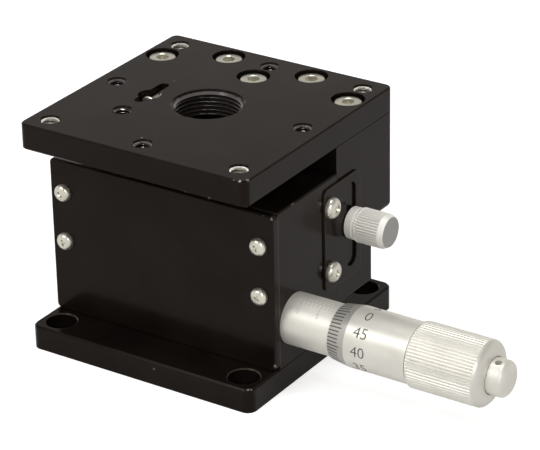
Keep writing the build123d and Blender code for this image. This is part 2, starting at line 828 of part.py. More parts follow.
with BuildPart() as lower_spring_pin:
    with BuildSketch(front_plane(spring_y + spring_pin_length / 2)):
        with Locations((spring_x, lower_pin_z)):
            Circle(spring_pin_radius)
    extrude(amount=spring_pin_length)
save(lower_spring_pin, "lower_spring_pin")

# Return spring: a closely wound tube with a straight leg and a round eye at each end
with BuildPart() as return_spring:
    with BuildSketch(Plane.XY.offset(coil_bottom)):
        with Locations((spring_x, spring_y)):
            Circle(spring_radius)
            Circle(spring_radius - 2 * spring_wire_radius, mode=Mode.SUBTRACT)
    extrude(amount=coil_top - coil_bottom)
    for leg_z, eye_z, turn in (
        (coil_top, upper_eye_z, spring_eye_turn),
        (coil_bottom, lower_eye_z, -spring_eye_turn),
    ):
        with BuildLine(front_plane(spring_y)) as eye_path:
            Line((spring_x + coil_radius, leg_z), (spring_x + coil_radius, eye_z))
            CenterArc((spring_x, eye_z), coil_radius, 0, turn)
        with BuildSketch(Plane.XY.offset(leg_z)):
            with Locations((spring_x + coil_radius, spring_y)):
                Circle(spring_wire_radius * spring_eye_wire_share)
        sweep(path=eye_path.wire())
save(return_spring, "return_spring")

# Bell crank with forked ends, its bush, pins and rollers
with BuildPart() as bell_crank:
    with BuildSketch(front_plane(lever_rear_y)):
        with Locations((lever_pivot_x, pivot_z)):
            Circle(lever_hub_radius)
        with Locations((lever_pivot_x, pivot_z - lever_arm / 2)):
            SlotOverall(lever_arm + 2 * lever_arm_half_width, 2 * lever_arm_half_width, rotation=90)
        with Locations((lever_pivot_x - lever_arm / 2, pivot_z)):
            SlotOverall(lever_arm + 2 * lever_arm_half_width, 2 * lever_arm_half_width)
    extrude(amount=lever_width)
    with BuildSketch(front_plane(micrometer_y)):
        with Locations(drive_roller_at, lift_roller_at):
            Circle(crank_roller_radius + crank_fork_room)
    extrude(amount=roller_slot / 2, both=True, mode=Mode.SUBTRACT)
    with BuildSketch(front_plane(lever_rear_y)):
        with Locations((lever_pivot_x, pivot_z)):
            Circle(pivot_pin_radius + running_clearance + pivot_bush_wall)
        with Locations(drive_roller_at, lift_roller_at):
            Circle(crank_pin_radius + fastener_fit / 2)
    extrude(amount=lever_width, mode=Mode.SUBTRACT)
save(bell_crank, "bell_crank")

with BuildPart() as pivot_bush:
    with BuildSketch(front_plane(lever_rear_y)):
        with Locations((lever_pivot_x, pivot_z)):
            Circle(pivot_pin_radius + running_clearance + pivot_bush_wall - fastener_fit / 2)
            Circle(pivot_pin_radius + running_clearance, mode=Mode.SUBTRACT)
    extrude(amount=lever_width)
save(pivot_bush, "pivot_bush")

for word, place in (("drive", drive_roller_at), ("lift", lift_roller_at)):
    with BuildPart() as crank_pin:
        with BuildSketch(front_plane(lever_rear_y)):
            with Locations(place):
                Circle(crank_pin_radius)
        extrude(amount=lever_width)
    save(crank_pin, f"{word}_roller_pin")
    with BuildPart() as crank_roller:
        with BuildSketch(front_plane(micrometer_y)):
            with Locations(place):
                Circle(crank_roller_radius)
                Circle(crank_pin_radius + running_clearance, mode=Mode.SUBTRACT)
        extrude(amount=crank_roller_width / 2, both=True)
        roller_rims = crank_roller.edges().filter_by(GeomType.CIRCLE).group_by(SortBy.RADIUS)[-1]
        chamfer(roller_rims, crank_roller_break)
    save(crank_roller, f"{word}_roller")

# Pivot pin: seated in the body behind, collared against the pocket wall, ringed in front
pin_front_y = lever_front_y - pivot_pin_nose
ring_rear_y = lever_front_y - contact_gap
pin_groove_radius = pivot_pin_radius - ring_groove_depth
with BuildPart() as lever_pivot_pin:
    with BuildSketch(front_plane(crank_pocket_rear_y + pivot_pin_seat_depth)):
        with Locations((lever_pivot_x, pivot_z)):
            Circle(pivot_pin_radius)
    extrude(amount=crank_pocket_rear_y + pivot_pin_seat_depth - pin_front_y)
    with BuildSketch(front_plane(crank_pocket_rear_y)):
        with Locations((lever_pivot_x, pivot_z)):
            Circle(pivot_pin_radius + pivot_bush_wall)
    extrude(amount=crank_pocket_rear_y - lever_rear_y - contact_gap)
    with BuildSketch(front_plane(ring_rear_y)):
        with Locations((lever_pivot_x, pivot_z)):
            Circle(pivot_pin_radius + fastener_fit)
            Circle(pin_groove_radius, mode=Mode.SUBTRACT)
    extrude(amount=ring_thickness + fastener_fit, mode=Mode.SUBTRACT)
save(lever_pivot_pin, "lever_pivot_pin")

with BuildPart() as pivot_retaining_ring:
    with BuildSketch(front_plane(ring_rear_y)):
        with Locations((lever_pivot_x, pivot_z)):
            Circle(pin_groove_radius + ring_wall)
            Circle(pin_groove_radius + fastener_fit / 2, mode=Mode.SUBTRACT)
        with Locations((lever_pivot_x, pivot_z - lever_hub_radius / 2)):
            Rectangle(2 * (pin_groove_radius - fastener_fit), lever_hub_radius, mode=Mode.SUBTRACT)
    extrude(amount=ring_thickness)
save(pivot_retaining_ring, "pivot_retaining_ring")

# Micrometer head
with BuildPart() as micrometer_sleeve:
    with BuildSketch(micrometer_plane):
        with BuildLine():
            Polyline(
                (pocket_right_x, sleeve_bore_radius),
                (pocket_right_x, stem_radius),
                (face_x, stem_radius),
                (face_x, sleeve_radius),
                (sleeve_thread_x, sleeve_radius),
                (sleeve_thread_x, sleeve_thread_radius),
                (sleeve_end_x, sleeve_thread_radius),
                (sleeve_end_x, screw_bore_radius),
                (screw_bore_x, screw_bore_radius),
                (screw_bore_x, sleeve_bore_radius),
                close=True,
            )
        make_face()
    revolve(axis=micrometer_axis)
    with BuildSketch(Plane.XY.offset(micrometer_z)):
        with Locations((key_x, micrometer_y)):
            Circle(key_radius + fastener_fit / 2)
    extrude(amount=stem_radius, mode=Mode.SUBTRACT)
save(micrometer_sleeve, "micrometer_sleeve")

with BuildPart() as spindle:
    with BuildSketch(micrometer_plane):
        with BuildLine():
            Polyline(
                (spindle_tip_x, 0),
                (spindle_tip_x, spindle_nose_radius),
                (spindle_tip_x + spindle_nose_length, spindle_nose_radius),
                (spindle_tip_x + spindle_nose_length, spindle_radius),
                (spindle_tail_x, spindle_radius),
                (spindle_tail_x, 0),
                close=True,
            )
        make_face()
    revolve(axis=micrometer_axis)
    with BuildSketch(Plane.XY.offset(keyway_floor_z)):
        with Locations((key_x, micrometer_y)):
            SlotOverall(2 * (travel + key_radius + keyway_end_room), 2 * (key_radius + fastener_fit))
    extrude(amount=spindle_radius, mode=Mode.SUBTRACT)
save(spindle, "spindle")

with BuildPart() as spindle_key:
    with BuildSketch(Plane.XY.offset(keyway_floor_z + key_float)):
        with Locations((key_x, micrometer_y)):
            Circle(key_radius)
    extrude(amount=micrometer_z + stem_radius - key_top_room - keyway_floor_z - key_float)
save(spindle_key, "spindle_key")

with BuildPart() as sleeve_set_screw:
    with BuildSketch(Plane.XY.offset(set_screw_top - set_screw_length)):
        with Locations((set_screw_x, micrometer_y)):
            Circle(set_screw_radius)
            RegularPolygon(set_screw_radius * set_screw_socket_share, 6, mode=Mode.SUBTRACT)
    extrude(amount=set_screw_length / 2)
    with BuildSketch(Plane.XY.offset(set_screw_top - set_screw_length / 2)):
        with Locations((set_screw_x, micrometer_y)):
            Circle(set_screw_radius)
    extrude(amount=set_screw_length / 2 - fastener_fit)
save(sleeve_set_screw, "sleeve_set_screw")

with BuildPart() as adjusting_nut:
    with BuildSketch(side_view.offset(sleeve_thread_x + nut_end_gap)):
        with Locations((micrometer_y, micrometer_z)):
            Circle(sleeve_radius - fastener_fit)
            Circle(sleeve_thread_radius + fastener_fit / 2, mode=Mode.SUBTRACT)
    extrude(amount=sleeve_thread_length - 3 * nut_end_gap)
    with BuildSketch(side_view.offset(sleeve_end_x - 2 * nut_end_gap)):
        with Locations((micrometer_y, micrometer_z)):
            Rectangle(nut_slot_width, 2 * sleeve_radius)
    extrude(amount=-nut_slot_width, mode=Mode.SUBTRACT)
save(adjusting_nut, "adjusting_nut")

with BuildPart() as drive_screw:
    with BuildSketch(side_view.offset(drive_screw_x)):
        with Locations((micrometer_y, micrometer_z)):
            Circle(drive_screw_radius)
    extrude(amount=cap_seat_x - drive_screw_x)
    chamfer(drive_screw.faces().sort_by(Axis.X)[0].edges(), drive_screw_break)
save(drive_screw, "drive_screw")

with BuildPart() as thimble:
    with BuildSketch(micrometer_plane):
        with BuildLine():
            Polyline(
                (thimble_edge_x, thimble_bore_radius),
                (thimble_edge_x, thimble_bore_radius + thimble_edge_wall),
                (bevel_end_x, barrel_radius),
                (grip_start_x, barrel_radius),
                (grip_start_x + grip_edge_break, grip_radius),
                (grip_end_x - grip_edge_break, grip_radius),
                (grip_end_x, grip_radius - grip_edge_break),
                (cone_end_x, cap_rim_radius),
                (cone_end_x, cap_radius + fastener_fit),
                (cap_seat_x, cap_radius + fastener_fit),
                (cap_seat_x, drive_screw_radius + fastener_fit / 2),
                (thimble_floor_x, drive_screw_radius + fastener_fit / 2),
                (thimble_floor_x, thimble_bore_radius),
                close=True,
            )
        make_face()
    revolve(axis=micrometer_axis)
save(thimble, "thimble")

cap_dome_x = cap_end_x - cap_dome_height
with BuildPart() as thimble_end_cap:
    with BuildSketch(micrometer_plane):
        with BuildLine():
            Polyline((cap_end_x, 0), (cap_seat_x, 0), (cap_seat_x, cap_radius), (cap_dome_x, cap_radius))
            ThreePointArc(
                (cap_dome_x, cap_radius),
                (cap_end_x - cap_dome_height / 3, (cap_radius + cap_flat_radius) / 2 + cap_dome_swell),
                (cap_end_x, cap_flat_radius),
            )
            Line((cap_end_x, cap_flat_radius), (cap_end_x, 0))
        make_face()
    revolve(axis=micrometer_axis)
    hole_lean = radians(cap_hole_angle)
    tommy_plane = Plane(
        origin=((cone_end_x + cap_dome_x) / 2, micrometer_y, micrometer_z),
        x_dir=(1, 0, 0),
        z_dir=(0, -sin(hole_lean), cos(hole_lean)),
    )
    with BuildSketch(tommy_plane.offset(cap_radius + cap_hole_start_room)):
        Circle(cap_hole_radius)
    extrude(amount=-cap_hole_depth - cap_hole_start_room, mode=Mode.SUBTRACT)
save(thimble_end_cap, "thimble_end_cap")

# Side clamp: slotted plate on the body, knob and stud riding with the carriage
with BuildPart() as clamp_plate:
    with BuildSketch(side_view.offset(face_x)):
        with Locations(((clamp_plate_front_y + clamp_plate_rear_y) / 2, knob_z - knob_rise)):
            RectangleRounded(clamp_plate_width, clamp_plate_height, clamp_plate_corner_radius)
        with Locations((knob_y, knob_z - clamp_slot_drop)):
            SlotOverall(clamp_slot_length, clamp_slot_width, rotation=90, mode=Mode.SUBTRACT)
        with Locations(*clamp_screw_places):
            Circle(clamp_screw_radius + 2 * fastener_fit, mode=Mode.SUBTRACT)
    extrude(amount=clamp_plate_thickness)
save(clamp_plate, "clamp_plate")

with BuildPart() as clamp_plate_screws:
    for seat_plane in head_plane(clamp_screw_places, "right", face_x + clamp_plate_thickness):
        add(
            pan_screw(
                seat_plane,
                clamp_screw_radius,
                clamp_screw_length,
                clamp_screw_head_radius,
                clamp_screw_head_height,
            )
        )
save(clamp_plate_screws, "clamp_plate_screws")

with BuildPart() as clamp_knob:
    with BuildSketch(knob_plane):
        with BuildLine():
            Polyline(
                (knob_base_x, tap_radius),
                (knob_base_x, knob_flange_radius - knob_flange_break),
                (knob_base_x + knob_flange_break, knob_flange_radius),
                (knob_neck_x - knob_flange_break, knob_flange_radius),
                (knob_neck_x, knob_flange_radius - knob_flange_break),
                (knob_neck_x, knob_neck_radius),
                (knob_barrel_x, knob_neck_radius),
                (knob_barrel_x, knob_radius - knob_edge_break),
                (knob_barrel_x + knob_edge_break, knob_radius),
                (knob_end_x - knob_bevel_length, knob_radius),
                (knob_end_x, knob_bevel_radius),
                (knob_end_x, 0),
                (clamp_stud_end_x, 0),
                (clamp_stud_end_x, tap_radius),
                close=True,
            )
        make_face()
    revolve(axis=knob_axis)
save(clamp_knob, "clamp_knob")

with BuildPart() as clamp_stud:
    with BuildSketch(side_view.offset(clamp_stud_tip_x)):
        with Locations((knob_y, knob_z)):
            Circle(tap_radius - fastener_fit)
    extrude(amount=clamp_stud_end_x - clamp_stud_tip_x)
    chamfer(clamp_stud.faces().sort_by(Axis.X)[0].edges(), clamp_stud_break)
save(clamp_stud, "clamp_stud")

print(f"lever swing {lever_swing:.4f} degrees each way")
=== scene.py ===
import json
import math

import bmesh
import bpy
from mathutils import Matrix, Vector


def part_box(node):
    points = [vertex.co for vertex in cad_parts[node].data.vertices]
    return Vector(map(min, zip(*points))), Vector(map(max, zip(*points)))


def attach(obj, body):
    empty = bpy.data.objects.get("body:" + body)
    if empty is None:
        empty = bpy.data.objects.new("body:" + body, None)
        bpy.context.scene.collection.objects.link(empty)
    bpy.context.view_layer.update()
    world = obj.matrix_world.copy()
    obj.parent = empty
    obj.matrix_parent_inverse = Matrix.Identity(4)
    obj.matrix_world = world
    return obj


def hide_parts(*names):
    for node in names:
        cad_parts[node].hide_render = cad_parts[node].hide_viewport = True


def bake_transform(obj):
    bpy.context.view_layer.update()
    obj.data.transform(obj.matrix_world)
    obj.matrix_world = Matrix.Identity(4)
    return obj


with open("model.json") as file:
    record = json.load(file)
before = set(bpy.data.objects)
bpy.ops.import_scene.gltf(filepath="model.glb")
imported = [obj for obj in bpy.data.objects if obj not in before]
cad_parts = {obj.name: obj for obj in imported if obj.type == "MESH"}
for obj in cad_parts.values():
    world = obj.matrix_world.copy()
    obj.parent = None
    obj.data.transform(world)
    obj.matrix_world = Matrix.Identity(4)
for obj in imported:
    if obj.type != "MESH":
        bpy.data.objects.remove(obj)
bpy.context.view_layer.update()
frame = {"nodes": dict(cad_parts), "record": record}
nodes = frame["nodes"]
scene = bpy.context.scene
mm = 0.001
fullTurn = 2 * math.pi
headAt = (0, -12, 15.9)  # a point on the micrometer's axis, in mm like every size below
knobAt = (0, 11.1, 29.8)
plateTop = 56
print("frame loaded,", len(nodes), "nodes")


class Field:  # a socket that takes part in sums
    def __init__(self, graph, socket):
        self.graph, self.socket = graph, socket

    def __add__(self, other):
        return self.graph.maths("ADD", self, other)

    def __radd__(self, other):
        return self.graph.maths("ADD", other, self)

    def __sub__(self, other):
        return self.graph.maths("SUBTRACT", self, other)

    def __rsub__(self, other):
        return self.graph.maths("SUBTRACT", other, self)

    def __mul__(self, other):
        return self.graph.maths("MULTIPLY", self, other)

    def __truediv__(self, other):
        return self.graph.maths("DIVIDE", self, other)

    def __pow__(self, other):
        return self.graph.maths("POWER", self, other)


class Graph:  # a node tree and the sums laid out in it
    def __init__(self, tree):
        self.tree = tree
        self.tree.nodes.clear()

    def add(self, kind, settings=None, inputs=None):
        node = self.tree.nodes.new(kind)
        for key, value in (settings or {}).items():
            setattr(node, key, value)
        for key, value in (inputs or {}).items():
            if isinstance(value, Field):
                self.tree.links.new(value.socket, node.inputs[key])
            else:
                node.inputs[key].default_value = value
        return node

    def field(self, kind, settings=None, inputs=None, output=0):
        return Field(self, self.add(kind, settings, inputs).outputs[output])

    def maths(self, operation, *values):
        return self.field("ShaderNodeMath", {"operation": operation}, dict(enumerate(values)))

    def least(self, first, second):
        return self.maths("MINIMUM", first, second)

    def most(self, first, second):
        return self.maths("MAXIMUM", first, second)

    def axes(self, point):
        split = self.add("ShaderNodeSeparateXYZ", inputs={0: point})
        return [Field(self, split.outputs[k]) for k in range(3)]

    def distance(self, values, place):
        total = None
        for value, at in zip(values, place):
            square = (value - at * mm) ** 2
            total = square if total is None else total + square
        return self.maths("SQRT", total)

    def noise(self, point, scale, detail=2.0, rough=0.5):
        return self.field("ShaderNodeTexNoise", None,
                          {"Vector": point, "Scale": scale, "Detail": detail, "Roughness": rough})

    def step(self, value, low, high, atLow=0.0, atHigh=1.0):
        return self.field("ShaderNodeMapRange", {"interpolation_type": "SMOOTHSTEP"},
                          {"Value": value, "From Min": low, "From Max": high, "To Min": atLow, "To Max": atHigh})

    def between(self, value, rise, full, ease, fall):
        # nothing before rise, whole from full to ease, nothing after fall
        return self.step(value, rise * mm, full * mm) * self.step(value, fall * mm, ease * mm)

    def blend(self, share, first, second):
        return self.field("ShaderNodeMix", {"data_type": "RGBA"}, {0: share, 6: first, 7: second}, output=2)

    def bump(self, height, distance, strength):
        return self.field("ShaderNodeBump", None,
                          {"Height": height, "Distance": distance * mm, "Strength": strength})

    def anyOf(self, *rays):
        found = [self.field("ShaderNodeLightPath", output=f"Is {ray} Ray") for ray in rays]
        return found[0] if len(found) == 1 else self.most(*found)


class Finish(Graph):  # one material, its Principled shader and the nodes that feed it
    def __init__(self, name, **constants):
        self.material = bpy.data.materials.new(name)
        self.material.use_nodes = True
        super().__init__(self.material.node_tree)
        fixed = {key.replace("_", " "): value for key, value in constants.items()}
        self.shader = self.add("ShaderNodeBsdfPrincipled", inputs=fixed)
        out = self.add("ShaderNodeOutputMaterial")
        self.tree.links.new(self.shader.outputs[0], out.inputs[0])
        self.point = self.field("ShaderNodeTexCoord", output="Object")

    def drive(self, **sockets):
        for key, value in sockets.items():
            self.tree.links.new(value.socket, self.shader.inputs[key.replace("_", " ")])
        return self.material


def shaded(colour, share):
    return [c * share for c in colour[:3]] + [1]


blackLook = {
    "deep": (0.0064, 0.0046, 0.0039, 1), "worn": (0.0094, 0.0071, 0.0058, 1), "edge": (0.070, 0.056, 0.044, 1),
    "bare": (0.40, 0.37, 0.31, 1), "sheen": (1.0, 0.80, 0.70, 1), "specular": 0.12, "bareMetallic": 0.8,
    "roughness": 0.18, "cloudRoughness": 0.12, "grainRoughness": 0.08, "grainHeight": 0.0012, "grainBump": 0.6,
    "cloudScale": 70, "grainScale": 9000, "chipScale": 420, "raggedScale": 2600,
    "cloudRange": (0.35, 0.70), "chipRange": (0.69, 0.74), "raggedRange": (0.30, 0.60, 0.1, 1.0),
    "edgeWidth": 0.22, "chipWidth": 0.34, "lipShare": 0.9, "wearAndLightShare": 0.55, "wearAndLightCloud": 0.6,
}
# how far each kind of wear and painted light fades, in mm; arcSide and nickCore are shares of the arc's spread and
# the knock's size
wearAndLightFade = {"ringOut": 0.08, "ringIn": 0.04, "ringBelow": 0.05, "ringAbove": 0.01,
            "arcIn": 0.1, "arcOut": 0.15, "arcBelow": 0.4, "arcAbove": 0.3, "arcSide": 0.7,
            "nickCore": 0.2, "lipOut": 0.09, "lipIn": 0.03, "lipBelow": 0.05}


def anodised(name, box, edgeWearAndHighlight, rings=(), arcs=(), nicks=(), outlines=()):
    look, fade = blackLook, wearAndLightFade
    finish = Finish(name, Specular_IOR_Level=look["specular"], Specular_Tint=look["sheen"])
    x, y, z = finish.axes(finish.point)
    gaps = [finish.least(value - low, high - value) for value, low, high in zip((x, y, z), *box)]
    nearer, farther = finish.least(gaps[0], gaps[1]), finish.most(gaps[0], gaps[1])
    toEdge = finish.most(nearer, finish.least(farther, gaps[2]))  # the middle one of the three gaps
    cloud = finish.noise(finish.point, look["cloudScale"], 4.0)
    chips = finish.noise(finish.point, look["chipScale"], 3.0, 0.6)
    ragged = finish.step(finish.noise(finish.point, look["raggedScale"]), *look["raggedRange"])
    # the pale mask: worn edges and rims, partly painted highlight on their rounds, and lips painted pale over
    # shaded steps
    wearAndPaintedLight = finish.step(toEdge, look["edgeWidth"] * mm, 0.0) * edgeWearAndHighlight
    bareWearAndHighlight = finish.step(toEdge, look["chipWidth"] * mm, 0.0) * finish.step(chips, *look["chipRange"]) * edgeWearAndHighlight
    for centreX, centreY, level, inner, outer, strength in rings:  # a rubbed rim, also a painted highlight on its chamfer
        away = finish.distance((x, y), (centreX, centreY))
        band = finish.between(away, inner - fade["ringOut"], inner + fade["ringIn"],
                              outer - fade["ringOut"], outer + fade["ringOut"])
        above = finish.step(z, (level - fade["ringBelow"]) * mm, (level - fade["ringAbove"]) * mm)
        wearAndPaintedLight = finish.most(wearAndPaintedLight, band * above * strength)
    for centreX, centreY, level, inner, outer, facing, spread in arcs:  # a rim scuffed bare on one side, which also paints the highlight on that side's chamfer
        away = finish.distance((x, y), (centreX, centreY))
        facingX, facingY = math.cos(math.radians(facing)), math.sin(math.radians(facing))
        across = ((x - centreX * mm) * facingX + (y - centreY * mm) * facingY) / away
        side = finish.step(across, math.cos(math.radians(spread)), math.cos(math.radians(spread * fade["arcSide"])))
        band = finish.between(away, inner - fade["arcIn"], inner, outer - fade["arcOut"], outer)
        above = finish.step(z, (level - fade["arcBelow"]) * mm, (level - fade["arcAbove"]) * mm)
        bareWearAndHighlight = finish.most(bareWearAndHighlight, band * side * above * ragged)
    for *spot, size in nicks:  # a knock that shows bare metal
        near = finish.step(finish.distance((x, y, z), spot), size * mm, fade["nickCore"] * size * mm)
        bareWearAndHighlight = finish.most(bareWearAndHighlight, near * ragged)
    for centreY, centreZ, halfY, halfZ, radius, level in outlines:  # the outer lip of a rounded outline, painted pale: painted light on the shaded wall of its step
        over = [finish.most(finish.maths("ABSOLUTE", value - centre * mm) - (half - radius) * mm, 0.0)
                for value, centre, half in ((y, centreY, halfY), (z, centreZ, halfZ))]
        gap = finish.maths("ABSOLUTE", finish.distance(over, (0, 0)) - radius * mm)
        above = finish.step(x, (level - fade["lipBelow"]) * mm, level * mm)
        wearAndPaintedLight = finish.most(wearAndPaintedLight, finish.step(gap, fade["lipOut"] * mm, fade["lipIn"] * mm) * above * look["lipShare"])
    bareWearAndHighlight = finish.least(bareWearAndHighlight, 1.0)
    tone = finish.blend(finish.step(cloud, *look["cloudRange"]), look["deep"], look["worn"])
    tone = finish.blend(wearAndPaintedLight * (look["wearAndLightShare"] + cloud * look["wearAndLightCloud"]), tone, look["edge"])
    grain = finish.noise(finish.point, look["grainScale"], 1.0)
    return finish.drive(
        Base_Color=finish.blend(bareWearAndHighlight, tone, look["bare"]),
        Metallic=bareWearAndHighlight * look["bareMetallic"],
        Roughness=(look["roughness"] + (cloud - 0.5) * look["cloudRoughness"]
                   + (grain - 0.5) * look["grainRoughness"]),
        Normal=finish.bump(grain, look["grainHeight"], look["grainBump"]),
    )


latheLook = {"alongScale": 3500, "roundScale": 60, "ringRoughness": 0.10, "ringHeight": 0.006, "ringBump": 0.5,
             "cloudScale": 160, "cloudShare": 0.90, "cloudRange": (0.3, 0.75), "fineScale": 5000,
             "fineRoughness": 0.06, "bandEase": 0.04, "grooveEase": 0.1, "grooveTop": 0.05, "grooveFloor": 0.24}


def turned(name, colour, roughness, centre, metallic, specular=0.5, paintedShadeBands=(), grooves=()):
    # fine rings round the piece's own axis; bands painted greyer as shade, and painted shade in knurl grooves, from
    # one station to another
    look = latheLook
    finish = Finish(name, Metallic=metallic, Specular_IOR_Level=specular)
    x, y, z = finish.axes(finish.point)
    scale = (look["alongScale"], look["roundScale"], look["roundScale"])
    stretched = finish.field("ShaderNodeMapping", {"vector_type": "POINT"}, {
        "Vector": finish.point, "Scale": scale, "Location": [-c * mm * s for c, s in zip(centre, scale)]})
    rings = finish.noise(stretched, 1.0)
    cloud = finish.noise(finish.point, look["cloudScale"], 3.0)
    fine = finish.noise(finish.point, look["fineScale"], 1.0)
    shade = finish.blend(finish.step(cloud, *look["cloudRange"]), colour, shaded(colour, look["cloudShare"]))
    ease = look["bandEase"]
    # each band is painted shade: the colour darkened from one station to another
    for begin, end, share in paintedShadeBands:
        inside = finish.between(x, begin - ease, begin + ease, end - ease, end + ease)
        shade = finish.blend(inside, shade, shaded(colour, share))
    ease = look["grooveEase"]
    for begin, end, crest, share in grooves:  # painted shade between the crests of a knurl
        away = finish.distance((y, z), centre[1:])
        deep = finish.step(away, (crest - look["grooveTop"]) * mm, (crest - look["grooveFloor"]) * mm)
        inside = finish.between(x, begin, begin + ease, end - ease, end)
        shade = finish.blend(inside * deep, shade, shaded(colour, share))
    return finish.drive(
        Base_Color=shade,
        Roughness=roughness + (rings - 0.5) * look["ringRoughness"] + (fine - 0.5) * look["fineRoughness"],
        Normal=finish.bump(rings, look["ringHeight"], look["ringBump"]),
    )


def speckled(name, colour, roughness, look, patchOnly=False, **constants):
    # a plain metal or ink, with patches of another shade and a fine grain
    finish = Finish(name, **constants)
    fine = finish.noise(finish.point, look["fineScale"])
    patch = fine if patchOnly else finish.noise(finish.point, look["patchScale"], 3.0)
    share = finish.step(patch, *look["patchRange"]) if look["patchRange"] else patch
    tone = finish.blend(share, colour, shaded(colour, look["patchShare"]))
    sockets = {"Base_Color": tone, "Roughness": roughness + (fine - 0.5) * look["roughnessSpread"]}
    if look["height"]:
        sockets["Normal"] = finish.bump(fine, look["height"], look["bumpStrength"])
    return finish.drive(**sockets)


metalLook = {"fineScale": 2500, "patchScale": 400, "patchRange": (0.4, 0.75), "patchShare": 0.82,
             "roughnessSpread": 0.16, "height": 0.003, "bumpStrength": 0.4}
threadLook = {"fineScale": 4000, "patchScale": 300, "patchRange": None, "patchShare": 1.6,
              "roughnessSpread": 0.12, "height": 0.002, "bumpStrength": 0.5}
inkLook = {"fineScale": 3000, "patchRange": (0.3, 0.8), "patchShare": 1.5, "roughnessSpread": 0.2, "height": 0}
metalShare, inkRoughness = 0.85, 0.45


def bright(name, colour, roughness):
    return speckled(name, colour, roughness, metalLook, Metallic=metalShare)


def inked(name, colour):
    return speckled(name, colour, inkRoughness, inkLook, patchOnly=True, Specular_IOR_Level=0.3)


aluminium = (0.80, 0.785, 0.72, 1)
satin = turned("satinAluminium", aluminium, 0.47, headAt, 0.58)
# the bevel and the cone are painted greyer, painted shade for their dimmer reflections
satinBarrel = turned("satinBarrel", aluminium, 0.40, headAt, 0.62, paintedShadeBands=[(42.2, 46.7, 0.60), (78.6, 81, 0.88)])
# the knob's colour is lifted above the other aluminium, painted light against the body's shade; its end face band
# and knurl grooves are painted shade
satinKnob = turned("satinKnob", (1.0, 0.985, 0.93, 1), 0.44, knobAt, 0.12, specular=1.0,
                   paintedShadeBands=[(40.72, 42, 0.33)], grooves=[(33.5, 39.3, 4.05, 0.76)])
nickel = bright("nickelScrew", (0.72, 0.70, 0.61, 1), 0.30)
springWire = bright("springWire", (0.78, 0.76, 0.70, 1), 0.22)
bareThread = bright("bareThread", (0.62, 0.60, 0.54, 1), 0.30)
blackThread = speckled("blackThread", (0.012, 0.009, 0.008, 1), 0.16, threadLook, IOR=2.6)
ink = inked("scaleInk", (0.075, 0.072, 0.066, 1))
# the sleeve's ink is painted pale grey, a painted highlight that washes the scale out
paleInk = inked("sleeveInk", (0.38, 0.37, 0.35, 1))
slotFinish = {
    "nickel_screw": nickel, "spring_wire": springWire, "satin_aluminium": satin,
    "ground_steel": bright("groundSteel", (0.60, 0.60, 0.60, 1), 0.22),
    "plain_steel": bright("plainSteel", (0.46, 0.45, 0.43, 1), 0.34),
    "cage_brass": bright("cageBrass", (0.72, 0.55, 0.28, 1), 0.32),
}

# rings and arcs, worn rims that partly paint highlights: centre, level, inner and outer radius, then strength, or
# facing and spread in degrees; nicks: place and size; painted shade bands and grooves above: begin, end, crest
# radius of a knurl, share of the colour; outlines: centre, half sizes, corner radius and the level of the lip
# painted pale
baseRings = [(x, y, 5.6, 3.5, 3.85, 0.8) for x in (-25, 25) for y in (-25, 25)]
# the clamp plate's outline and its slot get that lip painted pale, painted light over the step's shade
lipLevel = 30.28
clampLow, clampHigh = (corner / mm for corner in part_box("clamp_plate"))
clampCentre, clampHalf = (clampLow + clampHigh) / 2, (clampHigh - clampLow) / 2
clampOutline = (clampCentre.y, clampCentre.z, clampHalf.y, clampHalf.z, 1.5, lipLevel)
slotOutline = (11.1, 29.3, 2.15, 10.4, 2.15, lipLevel)
blackNodes = {
    "base_plate": {"edgeWearAndHighlight": 1.0, "rings": baseRings,
                   "nicks": [(28.9, -29.3, 5.75, 0.42), (29.5, -28.9, 5.75, 0.38), (4.3, -29.95, 4.1, 0.26)]},
    "body_block": {"edgeWearAndHighlight": 0.8},
    # the cover's edge wear is raised to paint the pale highlight along its rounded vertical corner
    "front_cover": {"edgeWearAndHighlight": 1.8, "nicks": [(29.9, -20.0, 43.4, 0.75), (29.9, -20.0, 7.4, 0.5)]},
    "carriage": {"edgeWearAndHighlight": 0.6},
    "top_plate": {"edgeWearAndHighlight": 1.0, "arcs": [(-14.4, -2.3, plateTop, 2.45, 2.85, -15, 62)],
                  "nicks": [(28.4, -29.7, 55.8, 0.5), (29.6, -28.6, 55.9, 0.55), (27.0, -29.8, 55.8, 0.3),
                            (-2.0, -22.5, 56.0, 0.32), (1.3, -8.1, 55.9, 0.55), (-13.9, 6.7, 56.0, 0.25),
                            (14.4, -29.8, 49.9, 0.3), (20.6, -29.8, 49.9, 0.55), (29.8, -3.4, 49.9, 0.3)]},
    "clamp_plate": {"edgeWearAndHighlight": 0.7, "outlines": [clampOutline, slotOutline]},
}


def painted(nodeName, material):
    nodes[nodeName].data.materials.clear()
    nodes[nodeName].data.materials.append(material)


for nodeName, wear in blackNodes.items():
    finishName = "anodised" + "".join(word.title() for word in nodeName.split("_"))
    painted(nodeName, anodised(finishName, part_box(nodeName), **wear))
for subpart in frame["record"]["subparts"]:
    if subpart["material_slot"] in slotFinish:
        painted(subpart["node"], slotFinish[subpart["material_slot"]])
print("finishes made,", len(bpy.data.materials), "materials")


weldGap = 0.0005


def lathe(points, steps=144):
    # a section of stations along X and radii, spun round X
    bm = bmesh.new()
    verts = [bm.verts.new((x * mm, 0, r * mm)) for x, r in points]
    edges = [bm.edges.new(pair) for pair in zip(verts, verts[1:])]
    if points[0][1] > 0 or points[-1][1] > 0:
        edges.append(bm.edges.new((verts[-1], verts[0])))
    bmesh.ops.spin(bm, geom=verts + edges, axis=(1, 0, 0), cent=(0, 0, 0), angle=fullTurn, steps=steps,
                   use_merge=True)
    bmesh.ops.remove_doubles(bm, verts=bm.verts, dist=weldGap * mm)
    bmesh.ops.recalc_face_normals(bm, faces=bm.faces)
    return bm


def allOf(bm):
    return bm.verts[:] + bm.edges[:] + bm.faces[:]


